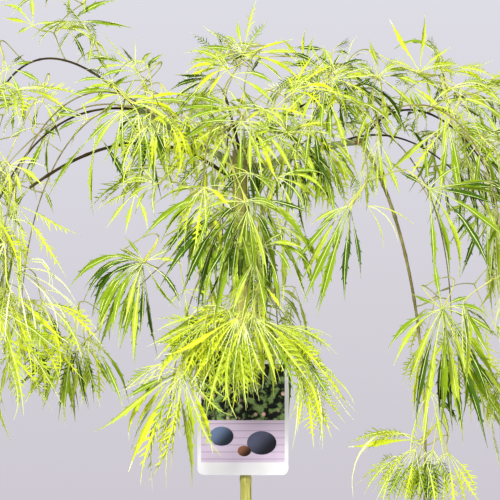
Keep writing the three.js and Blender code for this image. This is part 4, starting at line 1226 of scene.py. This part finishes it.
def midribs(lobes):
    """Follows every midrib from its heart, bending towards the ground, curling and twisting as it
    goes, with a hook to one side near its tip: its points, and the ways across and up at each."""
    at, way, face = lobes["heart"], lobes["way"], lobes["face"]
    points, across, upward = [], [], []
    stride = (lobes["length"] / MIDRIB_STEPS)[:, None]
    for step in range(MIDRIB_STEPS + 1):
        side = np.cross(face, way)
        points.append(at)
        across.append(side)
        upward.append(face)
        at = at + way * stride
        hook = lobes["hook"][:, None] * (step / MIDRIB_STEPS) ** 2
        bend = lobes["droop"][:, None] * DOWN + lobes["curl"][:, None] * face + hook * side
        way = unit(way + bend / MIDRIB_STEPS)
        face = square_to(way, face)
        turn = (lobes["twist"] / MIDRIB_STEPS)[:, None]
        face = face * np.cos(turn) + np.cross(way, face) * np.sin(turn)
    return np.array(points), np.array(across), np.array(upward)


# Every lobe leaves its heart higher than it points as a whole, and hangs lower at its tip.
to_sky = (UP - lobes["way"] * lobes["way"][:, 2:3]) * np.clip(0.8 - lobes["way"][:, 2:3], 0, 1)
lobes["way"] = unit(lobes["way"] + ARCH * lobes["droop"][:, None] * to_sky)
lobes["face"] = square_to(lobes["way"], lobes["face"])

# One that would hang across open sky is cut short there, or left out if little would be left.
SHORTEST = 0.42
points, across, upward = midribs(lobes)
blocked = in_open_sky(points) & lobes["free"]
entered = np.where(blocked.any(0), blocked.argmax(0), MIDRIB_STEPS) / MIDRIB_STEPS
lobes_left = np.bincount(lobes["leaf"][entered > SHORTEST], minlength=len(leaves))
kept = (entered > SHORTEST) & (~lobes["free"] | (lobes_left[lobes["leaf"]] > 2))
lobes = {fact: values[kept] for fact, values in lobes.items()}
lobes["length"] = lobes["length"] * entered[kept]

# One that would pass the room the plant has ends there.
inset = late_draw.uniform(0, 18, lobes["heart"].shape) * RAGGED * MM
for _ in range(3):
    points, across, upward = midribs(lobes)
    past = ((points < leaf_room[0] + inset) | (points > leaf_room[1] - inset)).any(2)
    inside = np.where(past.any(0), past.argmax(0), MIDRIB_STEPS) / MIDRIB_STEPS
    lobes["length"] = lobes["length"] * np.maximum(inside, 0.25)
points, across, upward = midribs(lobes)
EVEN_LENGTH = 58 * MM  # a longer lobe is broader too, but less so
breadth = np.sqrt(lobes["length"] * EVEN_LENGTH) * lobes["width"]


def blades(members, outline):
    """Corners of the lobes of one outline, bent to their midribs and folded along them."""
    spots = outline[0]
    step = np.minimum((spots[:, 0] * MIDRIB_STEPS).astype(int), MIDRIB_STEPS - 1)
    part = (spots[:, 0] * MIDRIB_STEPS - step)[:, None, None]
    line, side, rise = (a[step][:, members] * (1 - part) + a[step + 1][:, members] * part
                        for a in (points, across, upward))
    reach = (spots[:, 1, None] * breadth[members])[..., None]
    corners = line + side * reach + rise * np.abs(reach) * lobes["fold"][members][None, :, None]
    return corners.transpose(1, 0, 2)


pieces = {tone: ([], []) for tone in [*TONES, "tip"]}
for kind, outline in enumerate(OUTLINES):
    for tone in TONES:
        members = np.flatnonzero((lobes["kind"] == kind) & (lobes["tone"] == tone))
        if not len(members):
            continue
        corners = blades(members, outline)
        offset = (np.arange(len(members)) * corners.shape[1])[:, None, None]
        for tip in (False, True):
            target = pieces["tip" if tip and tone in PALE_TIPPED else tone]
            before = sum(len(c) for c in target[0])
            chosen = outline[1][outline[2] == tip]
            target[0].append(corners.reshape(-1, 3))
            target[1].append((chosen[None] + offset + before).reshape(-1, 3))


def trimmed(corners, faces):
    """The same mesh without the corners that no face uses."""
    used, faces = np.unique(faces, return_inverse=True)
    return corners[used], faces.reshape(-1, 3)


def leaf_finish(name, colour, rough):
    """The thin soft skin of a leaf, dull and finely veined."""
    leaf = Finish(name, Base_Color=tint(*colour), Specular_IOR_Level=0.1)
    veins = leaf.grain(700.0, 4.0)
    leaf.feed("Roughness", rough + veins * 0.25)
    leaf.relief(veins, 0.0003)
    return leaf


for tone, (corners, faces) in pieces.items():
    mesh = joined_mesh(*trimmed(np.concatenate(corners), np.concatenate(faces)))
    skin = leaf_finish(f"Leaf {tone}", TONES.get(tone, TIP_COLOUR), 0.4)
    finished(f"foliage_{tone}", mesh, skin, masses)

RIB_SIDES, RIB_STEPS = 3, np.array([0, 2, 5, 8, 10, 12])
RIB_RADII = np.array([0.28, 0.35, 0.39, 0.34, 0.22, 0.09]) * MM
rib_rings = []
for side in range(RIB_SIDES):
    turn = 2 * math.pi * side / RIB_SIDES
    around = across[RIB_STEPS] * math.cos(turn) + upward[RIB_STEPS] * math.sin(turn)
    rib_rings.append(points[RIB_STEPS] + RIB_RADII[:, None, None] * around)
rib_corners = np.array(rib_rings).transpose(2, 1, 0, 3)  # lobe, ring, side
ring, side = np.meshgrid(np.arange(len(RIB_STEPS) - 1), np.arange(RIB_SIDES), indexing="ij")
a, b = ring * RIB_SIDES + side, ring * RIB_SIDES + (side + 1) % RIB_SIDES
quads = np.stack([a, b, b + RIB_SIDES, a + RIB_SIDES], -1).reshape(-1, 4)
RIB_COLOUR, YELLOW_RIB_COLOUR = (226, 234, 156), (212, 226, 96)
on_yellow = lobes["tone"] == "yellow"
for name, members, colour in (("leaf_ribs", ~on_yellow, RIB_COLOUR),
                              ("leaf_ribs_yellow", on_yellow, YELLOW_RIB_COLOUR)):
    offset = np.arange(members.sum()) * rib_corners.shape[1] * RIB_SIDES
    rib_faces = (quads[None] + offset[:, None, None]).reshape(-1, 4)
    skin = leaf_finish(name.replace("_", " "), colour, 0.45)
    finished(name, joined_mesh(rib_corners[members], rib_faces), skin, masses)

STALK_RADII = 0.5 * MM * np.array([1.25, 0.9, 0.8, 0.75, 0.75, 0.85, 1.3])
stalk_tubes = [tube(stalks[leaf], STALK_RADII, 5) for leaf in np.unique(lobes["leaf"])]
stalk_skin = leaf_finish("Leaf stalk", (198, 202, 98), 0.4)
finished("leaf_stalks", joined_tubes(stalk_tubes), stalk_skin, masses)
